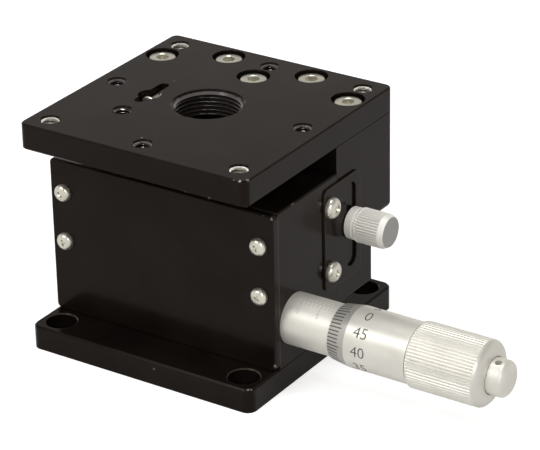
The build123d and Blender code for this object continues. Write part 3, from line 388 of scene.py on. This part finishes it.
def capped(bm):
    bmesh.ops.holes_fill(bm, edges=[e for e in bm.edges if e.is_boundary], sides=0)


def put(bm, name, body, finish, at=(0, 0, 0), sharp=28, replaces=()):
    bmesh.ops.translate(bm, vec=[c * mm for c in at], verts=bm.verts)
    mesh = bpy.data.meshes.new(name)
    bm.to_mesh(mesh)
    bm.free()
    mesh.shade_smooth()
    mesh.set_sharp_from_angle(angle=math.radians(sharp))
    mesh.materials.append(finish)
    piece = bpy.data.objects.new(name, mesh)
    scene.collection.objects.link(piece)
    if body:
        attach(piece, body)
    if replaces:
        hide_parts(*replaces)
    return piece


def joined(parts):
    bm = bmesh.new()
    for part in parts:
        spare = bpy.data.meshes.new("spare")
        part.to_mesh(spare)
        part.free()
        bm.from_mesh(spare)
        bpy.data.meshes.remove(spare)
    return bm


def copied(bm, matrix):
    twin = bm.copy()
    bmesh.ops.transform(twin, matrix=matrix, verts=twin.verts)
    return twin


def evaluated(holder):
    return bpy.data.meshes.new_from_object(holder.evaluated_get(bpy.context.evaluated_depsgraph_get()))


def carved(bm, cutter):
    # the first shape with the second cut out of it
    shapes = []
    for label, shape in (("carvedBody", bm), ("carvedTool", cutter)):
        mesh = bpy.data.meshes.new(label)
        shape.to_mesh(mesh)
        shape.free()
        shapes.append(bpy.data.objects.new(label, mesh))
        scene.collection.objects.link(shapes[-1])
    cut = shapes[0].modifiers.new("cut", "BOOLEAN")
    cut.operation, cut.object, cut.solver = "DIFFERENCE", shapes[1], "EXACT"
    made = evaluated(shapes[0])
    result = bmesh.new()
    result.from_mesh(made)
    bpy.data.meshes.remove(made)
    for shape in shapes:
        mesh = shape.data
        bpy.data.objects.remove(shape)
        bpy.data.meshes.remove(mesh)
    return result


fluteSteps = 8  # faces round each flute
arcSteps = 8  # and along each rounded end
knurlMargin, knurlSkin = 0.1, 0.05


def knurled(bm, size):
    # straight flutes pressed in between the two ends of a knurl
    for vert in bm.verts:
        reach = math.hypot(vert.co.y, vert.co.z)
        inside = size["knurlStart"] + knurlMargin < vert.co.x / mm < size["knurlEnd"] - knurlMargin
        if inside and reach > (size["knurlRadius"] - knurlSkin) * mm:
            wave = 0.5 - 0.5 * math.cos(math.atan2(vert.co.z, vert.co.y) * size["flutes"])
            shrink = 1 - size["fluteDepth"] * mm * wave ** size["fluteSharpness"] / reach
            vert.co.y, vert.co.z = vert.co.y * shrink, vert.co.z * shrink
    return bm


def knurlRun(size):
    # the rings that carry the flutes and fade them out at both ends
    start, end, runOut = size["knurlStart"], size["knurlEnd"], size["knurlRunOut"]
    return [(x, size["knurlRadius"]) for x in (start, start + runOut, end - runOut, end)]


sleeve = {"tip": 8.6, "face": 30, "thread": 61.5, "end": 66, "screwBore": 39.5,
          "stem": 4.75, "radius": 6.0, "threadRadius": 4.9, "bore": 3.05, "wideBore": 3.55}
put(lathe([(sleeve["tip"], sleeve["bore"]), (sleeve["tip"], sleeve["stem"]), (sleeve["face"], sleeve["stem"]),
           (sleeve["face"], sleeve["radius"]), (sleeve["thread"], sleeve["radius"]),
           (sleeve["thread"], sleeve["threadRadius"]), (sleeve["end"], sleeve["threadRadius"]),
           (sleeve["end"], sleeve["wideBore"]), (sleeve["screwBore"], sleeve["wideBore"]),
           (sleeve["screwBore"], sleeve["bore"])]),
    "micrometerSleeve", "frame", satin, at=headAt, replaces=["micrometer_sleeve"])

thimble = {"edge": 42.3, "edgeRadius": 6.35, "bevelEnd": 46.7, "bevelEase": 0.12, "bevelDrop": 0.018, "barrel": 7.0,
           "grooveStart": 61.88, "grooveEnd": 62.26, "grooveLean": 0.04, "groove": 0.45,
           "gripStart": 62.28, "gripEase": 0.10, "gripEnd": 78.55, "coneEnd": 80.1, "coneDrop": 0.06, "rim": 4.85,
           "seat": 77.9, "floor": 72.0, "bore": 6.1, "capBore": 4.32, "screwBore": 3.525,
           "knurlStart": 62.45, "knurlEnd": 78.45, "knurlRadius": 7.5, "knurlRunOut": 0.25,
           "flutes": 61, "fluteDepth": 0.24, "fluteSharpness": 2.5}
t = thimble
shoulder = []  # the grip's rounded end, between a cone and a quarter circle
shoulderTop, cone = t["knurlRadius"] - t["coneDrop"], 0.3  # cone is its share in the mix
for k in range(arcSteps + 1):
    even, turn = k / arcSteps, math.radians(90) * k / arcSteps
    along = cone * even + (1 - cone) * math.sin(turn)
    down = cone * even + (1 - cone) * (1 - math.cos(turn))
    shoulder.append((t["gripEnd"] + (t["coneEnd"] - t["gripEnd"]) * along,
                     shoulderTop - (shoulderTop - t["rim"]) * down))
grooveRadius = t["barrel"] - t["groove"]
barrelPoints = [(t["edge"], t["bore"]), (t["edge"], t["edgeRadius"]),
                (t["bevelEnd"] - t["bevelEase"], t["barrel"] - t["bevelDrop"]),
                (t["bevelEnd"] + t["bevelEase"], t["barrel"]), (t["grooveStart"], t["barrel"]),
                (t["grooveStart"] + t["grooveLean"], grooveRadius), (t["grooveEnd"], grooveRadius),
                (t["gripStart"], t["knurlRadius"] - t["gripEase"]),
                (t["gripStart"] + t["gripEase"], t["knurlRadius"])]
borePoints = [(t["coneEnd"], t["capBore"]), (t["seat"], t["capBore"]), (t["seat"], t["screwBore"]),
              (t["floor"], t["screwBore"]), (t["floor"], t["bore"])]
barrelShape = lathe(barrelPoints + knurlRun(t) + shoulder + borePoints, t["flutes"] * fluteSteps)
put(knurled(barrelShape, t), "thimbleBarrel", "thimble", satinBarrel, at=headAt, sharp=24,
    replaces=["thimble"])

cap = {"seat": 77.9, "end": 84.2, "radius": 4.15, "dome": 1.5, "flat": 1.9, "crown": 0.02,
       "hole": 0.75, "holeX": 81.6, "holeDepth": 2.4, "lean": 14}
domeStart = cap["end"] - cap["dome"]
domeArc = []
for k in range(arcSteps + 1):
    share = math.radians(90) * k / arcSteps
    domeArc.append((domeStart + cap["dome"] * math.sin(share),
                    cap["flat"] + (cap["radius"] - cap["flat"]) * math.cos(share)))
capShape = lathe([(cap["seat"], 0), (cap["seat"], cap["radius"])] + domeArc
                 + [(cap["end"] - cap["crown"], cap["flat"] * 0.5), (cap["end"], 0)], 96)
holeTool = bmesh.new()
bmesh.ops.create_cone(holeTool, cap_ends=True, segments=32, radius1=cap["hole"] * mm, radius2=cap["hole"] * mm,
                      depth=cap["holeDepth"] * 2 * mm)
bmesh.ops.translate(holeTool, vec=(cap["holeX"] * mm, 0, cap["radius"] * mm), verts=holeTool.verts)
lean = Matrix.Rotation(math.radians(cap["lean"]), 3, "X")
bmesh.ops.rotate(holeTool, cent=(0, 0, 0), matrix=lean, verts=holeTool.verts)
put(carved(capShape, holeTool), "thimbleCap", "thimble", satin, at=headAt, sharp=30,
    replaces=["thimble_end_cap"])
print("micrometer head turned")

scale = {"proud": 0.012, "line": 0.10, "indexAngle": 101.5, "indexWidth": 1.0, "indexStart": 33.1, "indexEnd": 42.8,
         "zero": 33.3, "pitch": 0.5, "ticks": 20, "tickShort": 1.3, "tickLong": 2.3,
         "sleeveNumber": 1.9, "sleeveNumberTurn": 31, "sleeveNumberStep": 0.1,
         "divisions": 50, "shortMark": 2.7, "longMark": 3.2, "markWidth": 0.26, "markStart": 0.05,
         "zeroAngle": 107.0, "numbers": 10, "numberX": 50.35, "numberSize": 3.6,
         "letterThin": 0.008, "cuts": 6, "cutStep": 0.07}


def strip(x0, r0, x1, r1, angle, sweepAngle, steps=1):
    # a thin patch between two stations, swept round the axis; angles in degrees from +Y
    bm = bmesh.new()
    lift = scale["proud"]
    corners = [(x0, r0), (x1, r1), (x1, r1 + lift), (x0, r0 + lift)]
    verts = [bm.verts.new((x * mm, r * mm, 0)) for x, r in corners]
    face = bm.faces.new(verts)
    start = Matrix.Rotation(math.radians(angle), 4, "X")
    bmesh.ops.spin(bm, geom=[face] + verts + face.edges[:], axis=(1, 0, 0), cent=(0, 0, 0),
                   angle=math.radians(sweepAngle), steps=steps)
    bmesh.ops.transform(bm, matrix=start, verts=bm.verts)
    bmesh.ops.recalc_face_normals(bm, faces=bm.faces)
    return bm


def wrapped(text, size, x, angle, radius):
    # text laid round the barrel, reading along +X, its top towards smaller angles
    curve = bpy.data.curves.new("letters", "FONT")
    curve.body, curve.size, curve.align_x, curve.align_y = text, size * mm, "CENTER", "CENTER"
    curve.extrude, curve.offset = 0.5 * scale["proud"] * mm, -scale["letterThin"] * size * mm
    writer = bpy.data.objects.new("letters", curve)
    scene.collection.objects.link(writer)
    flat = evaluated(writer)
    bm = bmesh.new()
    bm.from_mesh(flat)
    bpy.data.objects.remove(writer)
    bpy.data.curves.remove(curve)
    bpy.data.meshes.remove(flat)
    for k in range(-scale["cuts"], scale["cuts"] + 1):  # cuts that let the flat letters bend
        bmesh.ops.bisect_plane(bm, geom=allOf(bm), dist=1e-8, plane_no=(0, 1, 0),
                               plane_co=(0, k * size * scale["cutStep"] * mm, 0))
    for vert in bm.verts:
        u, v, w = vert.co
        around = math.radians(angle) - v / (radius * mm)
        reach = radius * mm + w + 0.5 * scale["proud"] * mm
        vert.co = (x * mm + u, reach * math.cos(around), reach * math.sin(around))
    bmesh.ops.recalc_face_normals(bm, faces=bm.faces)
    return bm


s = scale
sleeveRadius = sleeve["radius"]
sleeveMarks = [strip(s["indexStart"], sleeveRadius, s["indexEnd"], sleeveRadius,
                     s["indexAngle"] - s["indexWidth"] / 2, s["indexWidth"])]
for k in range(s["ticks"]):  # whole millimetres on one side of the index line, halves on the other
    station = s["zero"] + k * s["pitch"]
    span = math.degrees((s["tickLong"] if k % 10 == 0 else s["tickShort"]) / sleeveRadius)
    startAngle = s["indexAngle"] if k % 2 == 0 else s["indexAngle"] - span
    sleeveMarks.append(strip(station - s["line"] / 2, sleeveRadius, station + s["line"] / 2, sleeveRadius,
                             startAngle, span, 6))
for number in (0, 5):
    sleeveMarks.append(wrapped(str(number), s["sleeveNumber"], s["zero"] + number + s["sleeveNumberStep"],
                               s["indexAngle"] + s["sleeveNumberTurn"], sleeveRadius))
put(joined(sleeveMarks), "sleeveScale", "frame", paleInk, at=headAt)

slope = (t["barrel"] - t["edgeRadius"]) / (t["bevelEnd"] - t["edge"])
markTurn = math.degrees(s["markWidth"] / t["edgeRadius"])
thimbleMarks = []
for k in range(s["divisions"]):
    near = s["markStart"]
    far = near + (s["longMark"] if k % 5 == 0 else s["shortMark"])
    thimbleMarks.append(strip(t["edge"] + near, t["edgeRadius"] + slope * near,
                              t["edge"] + far, t["edgeRadius"] + slope * far,
                              s["zeroAngle"] + k * 360 / s["divisions"] - markTurn / 2, markTurn))
for k in range(s["numbers"]):
    label = str(5 * ((s["numbers"] - k) % s["numbers"]))
    thimbleMarks.append(wrapped(label, s["numberSize"], s["numberX"], s["zeroAngle"] + 360 / s["numbers"] * k,
                                t["barrel"]))
put(joined(thimbleMarks), "thimbleScale", "thimble", ink, at=headAt)
print("scales and numbers laid on")

knob = {"base": 30.6, "neck": 32.6, "barrel": 33.05, "end": 40.8, "bevel": 1.1, "flange": 3.75, "flangeEase": 0.2,
        "neckRadius": 3.2, "barrelEase": 0.3, "barrelEaseLength": 0.28, "bevelRadius": 3.45, "faceEase": 0.05,
        "bevelTop": 0.04, "bevelLow": 0.06, "faceIn": 0.04, "tap": 2.0, "studEnd": 35.7,
        "knurlStart": 33.4, "knurlEnd": 39.35, "knurlRadius": 4.05, "knurlRunOut": 0.15,
        "flutes": 38, "fluteDepth": 0.36, "fluteSharpness": 2}
kb = knob
flangePoints = [(kb["base"], kb["tap"]), (kb["base"], kb["flange"] - kb["flangeEase"]),
                (kb["base"] + kb["flangeEase"], kb["flange"]), (kb["neck"] - kb["flangeEase"], kb["flange"]),
                (kb["neck"], kb["flange"] - kb["flangeEase"]), (kb["neck"], kb["neckRadius"]),
                (kb["barrel"], kb["neckRadius"]), (kb["barrel"], kb["knurlRadius"] - kb["barrelEase"]),
                (kb["barrel"] + kb["barrelEaseLength"], kb["knurlRadius"])]
endPoints = [(kb["end"] - kb["bevel"], kb["knurlRadius"] - kb["bevelTop"]),
             (kb["end"] - kb["faceEase"], kb["bevelRadius"] + kb["bevelLow"]),
             (kb["end"], kb["bevelRadius"] - kb["faceIn"]), (kb["end"], 0), (kb["studEnd"], 0),
             (kb["studEnd"], kb["tap"])]
knobShape = lathe(flangePoints + knurlRun(kb) + endPoints, kb["flutes"] * fluteSteps)
put(knurled(knobShape, kb), "clampKnob", "clamp_knob", satinKnob, at=knobAt, sharp=24,
    replaces=["clamp_knob"])
print("clamp knob turned")

# shares of the head's height and radius
panDome = [(0.34, 1), (0.55, 0.955), (0.75, 0.84), (0.90, 0.66), (0.98, 0.40), (1, 0)]
crossRecess = {"arm": 0.58, "wide": 0.14, "deep": 0.34, "floorArm": 0.35, "floorWide": 0.7}
headEase = 0.08


def panScrew(shank, length, head, height):
    dome = [(0, head - headEase), (headEase, head)] + [(a * height, b * head) for a, b in panDome]
    solid = lathe([(-length, 0), (-length, shank), (0, shank)] + dome, 48)
    arm, wide, deep = head * crossRecess["arm"], head * crossRecess["wide"], height * crossRecess["deep"]
    for turn in (0, 90):
        tool = bmesh.new()
        bmesh.ops.create_cube(tool, size=1)
        bmesh.ops.scale(tool, vec=(2 * deep * mm, 2 * arm * mm, 2 * wide * mm), verts=tool.verts)
        bottom = [v for v in tool.verts if v.co.x < 0]
        bmesh.ops.scale(tool, vec=(1, crossRecess["floorArm"], crossRecess["floorWide"]), verts=bottom)
        bmesh.ops.translate(tool, vec=(height * mm, 0, 0), verts=tool.verts)
        quarter = Matrix.Rotation(math.radians(turn), 3, "X")
        bmesh.ops.rotate(tool, cent=(0, 0, 0), matrix=quarter, verts=tool.verts)
        bmesh.ops.recalc_face_normals(tool, faces=tool.faces)
        solid = carved(solid, tool)
    return solid


# mm, but for dishRim, dishFloor and socket, which are shares of the head's radius
capHead = {"foot": 0.06, "shoulder": 0.28, "edge": 0.08, "edgeIn": 0.10, "faceIn": 0.32, "dish": 0.10,
           "dishRim": 0.62, "dishFloor": 0.57, "socket": 0.50, "socketDepth": 1.6}


def capScrew(shank, length, head, height):
    c = capHead
    solid = lathe([(-length, 0), (-length, shank), (0, shank), (0, head - c["foot"]), (c["foot"], head),
                   (height - c["shoulder"], head), (height - c["edge"], head - c["edgeIn"]),
                   (height, head - c["faceIn"]), (height, head * c["dishRim"]),
                   (height - c["dish"], head * c["dishFloor"]), (height - c["dish"], 0)], 64)
    tool = bmesh.new()
    radius = head * c["socket"] * mm
    bmesh.ops.create_cone(tool, cap_ends=True, segments=6, radius1=radius, radius2=radius,
                          depth=2 * c["socketDepth"] * mm)
    bmesh.ops.transform(tool, matrix=Matrix.Rotation(math.radians(90), 4, "Y"), verts=tool.verts)
    bmesh.ops.translate(tool, vec=(height * mm, 0, 0), verts=tool.verts)
    return carved(solid, tool)


def screwSet(template, screw, facing):
    made = []
    for place, turn in zip(screw["places"], screw["turns"]):
        spot = Matrix.Translation([c * mm for c in place]) @ facing @ Matrix.Rotation(math.radians(turn), 4, "X")
        made.append(copied(template, spot))
    template.free()
    return joined(made)


toFront = Matrix.Rotation(math.radians(-90), 4, "Z")  # a screw made along +X faces -Y
toTop = Matrix.Rotation(math.radians(-90), 4, "Y")  # and now +Z
# size: shank radius, length, head radius and height
coverScrew = {"size": (1.2, 7.0, 2.05, 1.6), "turns": (12, 40, 65, 28),
              "places": [(x, -20, z) for x in (-26.3, 26.3) for z in (23.8, 35.9)]}
clampScrew = {"size": (1.45, 5.7, 2.45, 1.9), "turns": (20, 50), "places": [(30.5, 2.4, 21.2), (30.5, 2.4, 37.0)]}
plateScrew = {"size": (1.95, 8.5, 3.1, 3.0), "turns": (5, 23, 38, 12, 49),
              "places": [(x, 18.3, 52.4) for x in (-25.3, 25.3, 0)] + [(x, 25.1, 52.4) for x in (-11.3, 11.3)]}
put(screwSet(panScrew(*coverScrew["size"]), coverScrew, toFront),
    "coverScrews", "frame", nickel, sharp=30, replaces=["cover_screws"])
put(screwSet(panScrew(*clampScrew["size"]), clampScrew, Matrix.Identity(4)),
    "clampScrews", "frame", nickel, sharp=30, replaces=["clamp_plate_screws"])
put(screwSet(capScrew(*plateScrew["size"]), plateScrew, toTop),
    "plateScrews", "stage", nickel, sharp=30, replaces=["top_plate_screws"])
print("screws made")

centreThread = {"major": 8.0, "minor": 7.46, "pitch": 1.0, "top": 55.7, "bottom": 49.85, "rim": 8.45}
tapThread = {"major": 2.0, "minor": 1.67, "pitch": 0.7, "top": 55.7, "bottom": 49.85, "rim": 2.4}
postThread = {**tapThread, "bottom": 52.85}
threadForm = {"root": 0.46, "crest": 0.10, "sink": 0.03}  # half widths as shares of the pitch; sink in mm
cornerPlaces = [(x, y) for x in (-25, 25) for y in (-25, 25)]
edgePlaces = [(-25, 0), (25, 0), (0, -25), (0, 25)]
postPlace = (-14.4, -12.5)


def trimmed(bm, level, keepBelow):
    cut = bmesh.ops.bisect_plane(bm, geom=allOf(bm), dist=0.0001 * mm, plane_co=(0, 0, level * mm),
                                 plane_no=(0, 0, 1), clear_outer=keepBelow, clear_inner=not keepBelow)
    openEdges = [e for e in cut["geom_cut"] if isinstance(e, bmesh.types.BMEdge)]
    bmesh.ops.holes_fill(bm, edges=openEdges, sides=0)


def thread(spec, stepsPerTurn):
    # a closed ridge carried up the hole's wall
    pitch = spec["pitch"]
    crest, root = pitch * threadForm["crest"], pitch * threadForm["root"]
    wall = spec["major"] + threadForm["sink"]
    bm = bmesh.new()
    verts = [bm.verts.new((r * mm, 0, (spec["bottom"] - pitch + z) * mm))
             for r, z in ((wall, -root), (spec["minor"], -crest), (spec["minor"], crest), (wall, root))]
    edges = [bm.edges.new((verts[k], verts[(k + 1) % len(verts)])) for k in range(len(verts))]
    steps = int(((spec["top"] - spec["bottom"]) / pitch + 2) * stepsPerTurn)
    bmesh.ops.spin(bm, geom=verts + edges, axis=(0, 0, 1), cent=(0, 0, 0),
                   dvec=(0, 0, pitch * mm / stepsPerTurn), angle=fullTurn * steps / stepsPerTurn, steps=steps)
    trimmed(bm, spec["bottom"], False)
    trimmed(bm, spec["top"], True)
    for vert in bm.verts:  # the countersink runs on down through the crests
        reach = math.hypot(vert.co.x, vert.co.y) / mm
        vert.co.z = min(vert.co.z, (plateTop - spec["rim"] + reach) * mm)
    bmesh.ops.recalc_face_normals(bm, faces=bm.faces)
    return bm


def tapped(spec, places):
    template = thread(spec, 32)
    made = [copied(template, Matrix.Translation((x * mm, y * mm, 0))) for x, y in places]
    template.free()
    return made


put(thread(centreThread, 96), "centreThread", "stage", blackThread, sharp=40)
put(joined(tapped(tapThread, cornerPlaces)), "cornerThreads", "stage", bareThread, sharp=40)
put(joined(tapped(tapThread, edgePlaces) + tapped(postThread, [postPlace])),
    "tapThreads", "stage", blackThread, sharp=40)
print("threads cut")

spring = {"coil": 1.75, "wire": 0.35, "looseness": 1.015, "coilSteps": 20,
          "eyeTurn": 255, "eyeLeg": 2.6, "eyeSteps": 36}
lowSpring, highSpring = (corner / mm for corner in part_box("return_spring"))
springX, springY = (lowSpring.x + highSpring.x) / 2, (lowSpring.y + highSpring.y) / 2
eyeReach = spring["coil"] + spring["wire"]
lowEye, highEye = lowSpring.z + eyeReach, highSpring.z - eyeReach
coilLow, coilHigh = lowEye + spring["eyeLeg"], highEye - spring["eyeLeg"]
wireDiameter = 2 * spring["wire"]
turns = int((coilHigh - coilLow - wireDiameter) / (wireDiameter * spring["looseness"]))
rise = (coilHigh - coilLow - wireDiameter) / turns


def wireRing(height, standing):
    # a ring of wire section at the coil's radius, standing in the XZ plane or lying flat
    bm = bmesh.new()
    bmesh.ops.create_circle(bm, segments=8, radius=spring["wire"] * mm)
    if standing:
        upright = Matrix.Rotation(math.radians(90), 3, "X")
        bmesh.ops.rotate(bm, cent=(0, 0, 0), matrix=upright, verts=bm.verts)
    bmesh.ops.translate(bm, vec=(spring["coil"] * mm, 0, height * mm), verts=bm.verts)
    return bm


coil = wireRing(coilLow + spring["wire"], True)
coilStep = rise * mm / spring["coilSteps"]
bmesh.ops.spin(coil, geom=coil.verts[:] + coil.edges[:], axis=(0, 0, 1), cent=(0, 0, 0), dvec=(0, 0, coilStep),
               angle=fullTurn * turns, steps=turns * spring["coilSteps"])
capped(coil)
springParts = [coil]
for eye, leg, way in ((highEye, coilHigh - spring["wire"], 1), (lowEye, coilLow + spring["wire"], -1)):
    bm = wireRing(leg, False)
    run = bmesh.ops.extrude_edge_only(bm, edges=bm.edges[:])
    moved = [v for v in run["geom"] if isinstance(v, bmesh.types.BMVert)]
    bmesh.ops.translate(bm, vec=(0, 0, (eye - leg) * mm), verts=moved)
    newEdges = [e for e in run["geom"] if isinstance(e, bmesh.types.BMEdge)]
    ringEdges = [e for e in newEdges if all(v in moved for v in e.verts)]
    bmesh.ops.spin(bm, geom=moved + ringEdges, axis=(0, -way, 0), cent=(0, 0, eye * mm),
                   angle=math.radians(spring["eyeTurn"]), steps=spring["eyeSteps"])
    capped(bm)
    springParts.append(bm)
springShape = joined(springParts)
bmesh.ops.recalc_face_normals(springShape, faces=springShape.faces)
springPiece = put(springShape, "returnSpring", None, springWire, at=(springX, springY, 0), sharp=60,
                  replaces=["return_spring"])
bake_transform(springPiece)
print("spring wound,", turns, "turns")

# half its side in metres, its drop below the base plate in mm, and how pale it looks where seen or mirrored
floorSize = {"half": 4.0, "drop": 0.02, "tone": 0.70, "seen": 0.62, "mirrored": 0.18}
floorLook = Finish("paleFloor", Base_Color=[floorSize["tone"]] * 3 + [1], Roughness=0.9, Specular_IOR_Level=0.0,
                   Emission_Strength=1.0)
floorLook.drive(Emission_Color=(floorLook.anyOf("Camera") * floorSize["seen"]
                                + floorLook.anyOf("Glossy") * floorSize["mirrored"]))
floorMesh = bpy.data.meshes.new("floor")
floorShape = bmesh.new()
bmesh.ops.create_grid(floorShape, x_segments=1, y_segments=1, size=floorSize["half"])
bmesh.ops.translate(floorShape, vec=(0, 0, -floorSize["drop"] * mm), verts=floorShape.verts)
floorShape.to_mesh(floorMesh)
floorShape.free()
floorMesh.materials.append(floorLook.material)
floor = bpy.data.objects.new("floor", floorMesh)
scene.collection.objects.link(floor)

studio = {"ambient": 0.36, "ceiling": 0.36, "wallTop": 0.65, "wallTone": (1.0, 0.965, 0.925, 1)}
world = bpy.data.worlds.new("studio")
scene.world = world
world.use_nodes = True
sky = Graph(world.node_tree)
height = sky.axes(sky.field("ShaderNodeTexCoord", output="Generated"))[2]
wall = sky.step(height, 0.0, studio["wallTop"], 1.0, studio["ceiling"])  # a pale wall that dims towards the ceiling
glow = studio["ambient"] + sky.anyOf("Glossy") * (wall - studio["ambient"])
seen = sky.anyOf("Camera", "Transmission")
back = sky.add("ShaderNodeBackground", inputs={
    "Color": sky.blend(seen, studio["wallTone"], (1, 1, 1, 1)), "Strength": sky.most(glow, seen)})
sky.tree.links.new(back.outputs[0], sky.add("ShaderNodeOutputWorld").inputs[0])

# places and sizes in metres, power in watts
lamps = {
    "keyLamp": {"at": (-0.35, -0.78, 0.80), "size": 0.6, "power": 3.6},
    "topLamp": {"at": (0.03, 0.0, 1.05), "size": 0.38, "power": 3.6},
    "sideLamp": {"at": (0.60, -0.64, 0.55), "size": 0.35, "power": 2.4},
}
target = Vector((0.01, 0, 0.03))
for name, lamp in lamps.items():
    light = bpy.data.lights.new(name, "AREA")
    light.shape, light.size, light.energy = "DISK", lamp["size"], lamp["power"]
    holder = bpy.data.objects.new(name, light)
    holder.location = lamp["at"]
    holder.rotation_euler = (target - Vector(lamp["at"])).to_track_quat("-Z", "Y").to_euler()
    scene.collection.objects.link(holder)

shot = {"at": (325.84, -464.41, 303.02), "yaw": 33.715, "pitch": -26.058, "roll": -1.134,
        "lens": 185.28, "sensor": 36}
camera = bpy.data.cameras.new("camera")
camera.sensor_width, camera.lens = shot["sensor"], shot["lens"]
camera.clip_start, camera.clip_end = 0.01, 20
viewer = bpy.data.objects.new("camera", camera)
aim = (Matrix.Rotation(math.radians(shot["yaw"]), 4, "Z")
       @ Matrix.Rotation(math.radians(90 + shot["pitch"]), 4, "X")
       @ Matrix.Rotation(math.radians(shot["roll"]), 4, "Z"))
viewer.matrix_world = Matrix.Translation([c * mm for c in shot["at"]]) @ aim
scene.collection.objects.link(viewer)
scene.camera = viewer
scene.view_settings.view_transform = "Standard"
print("studio set")
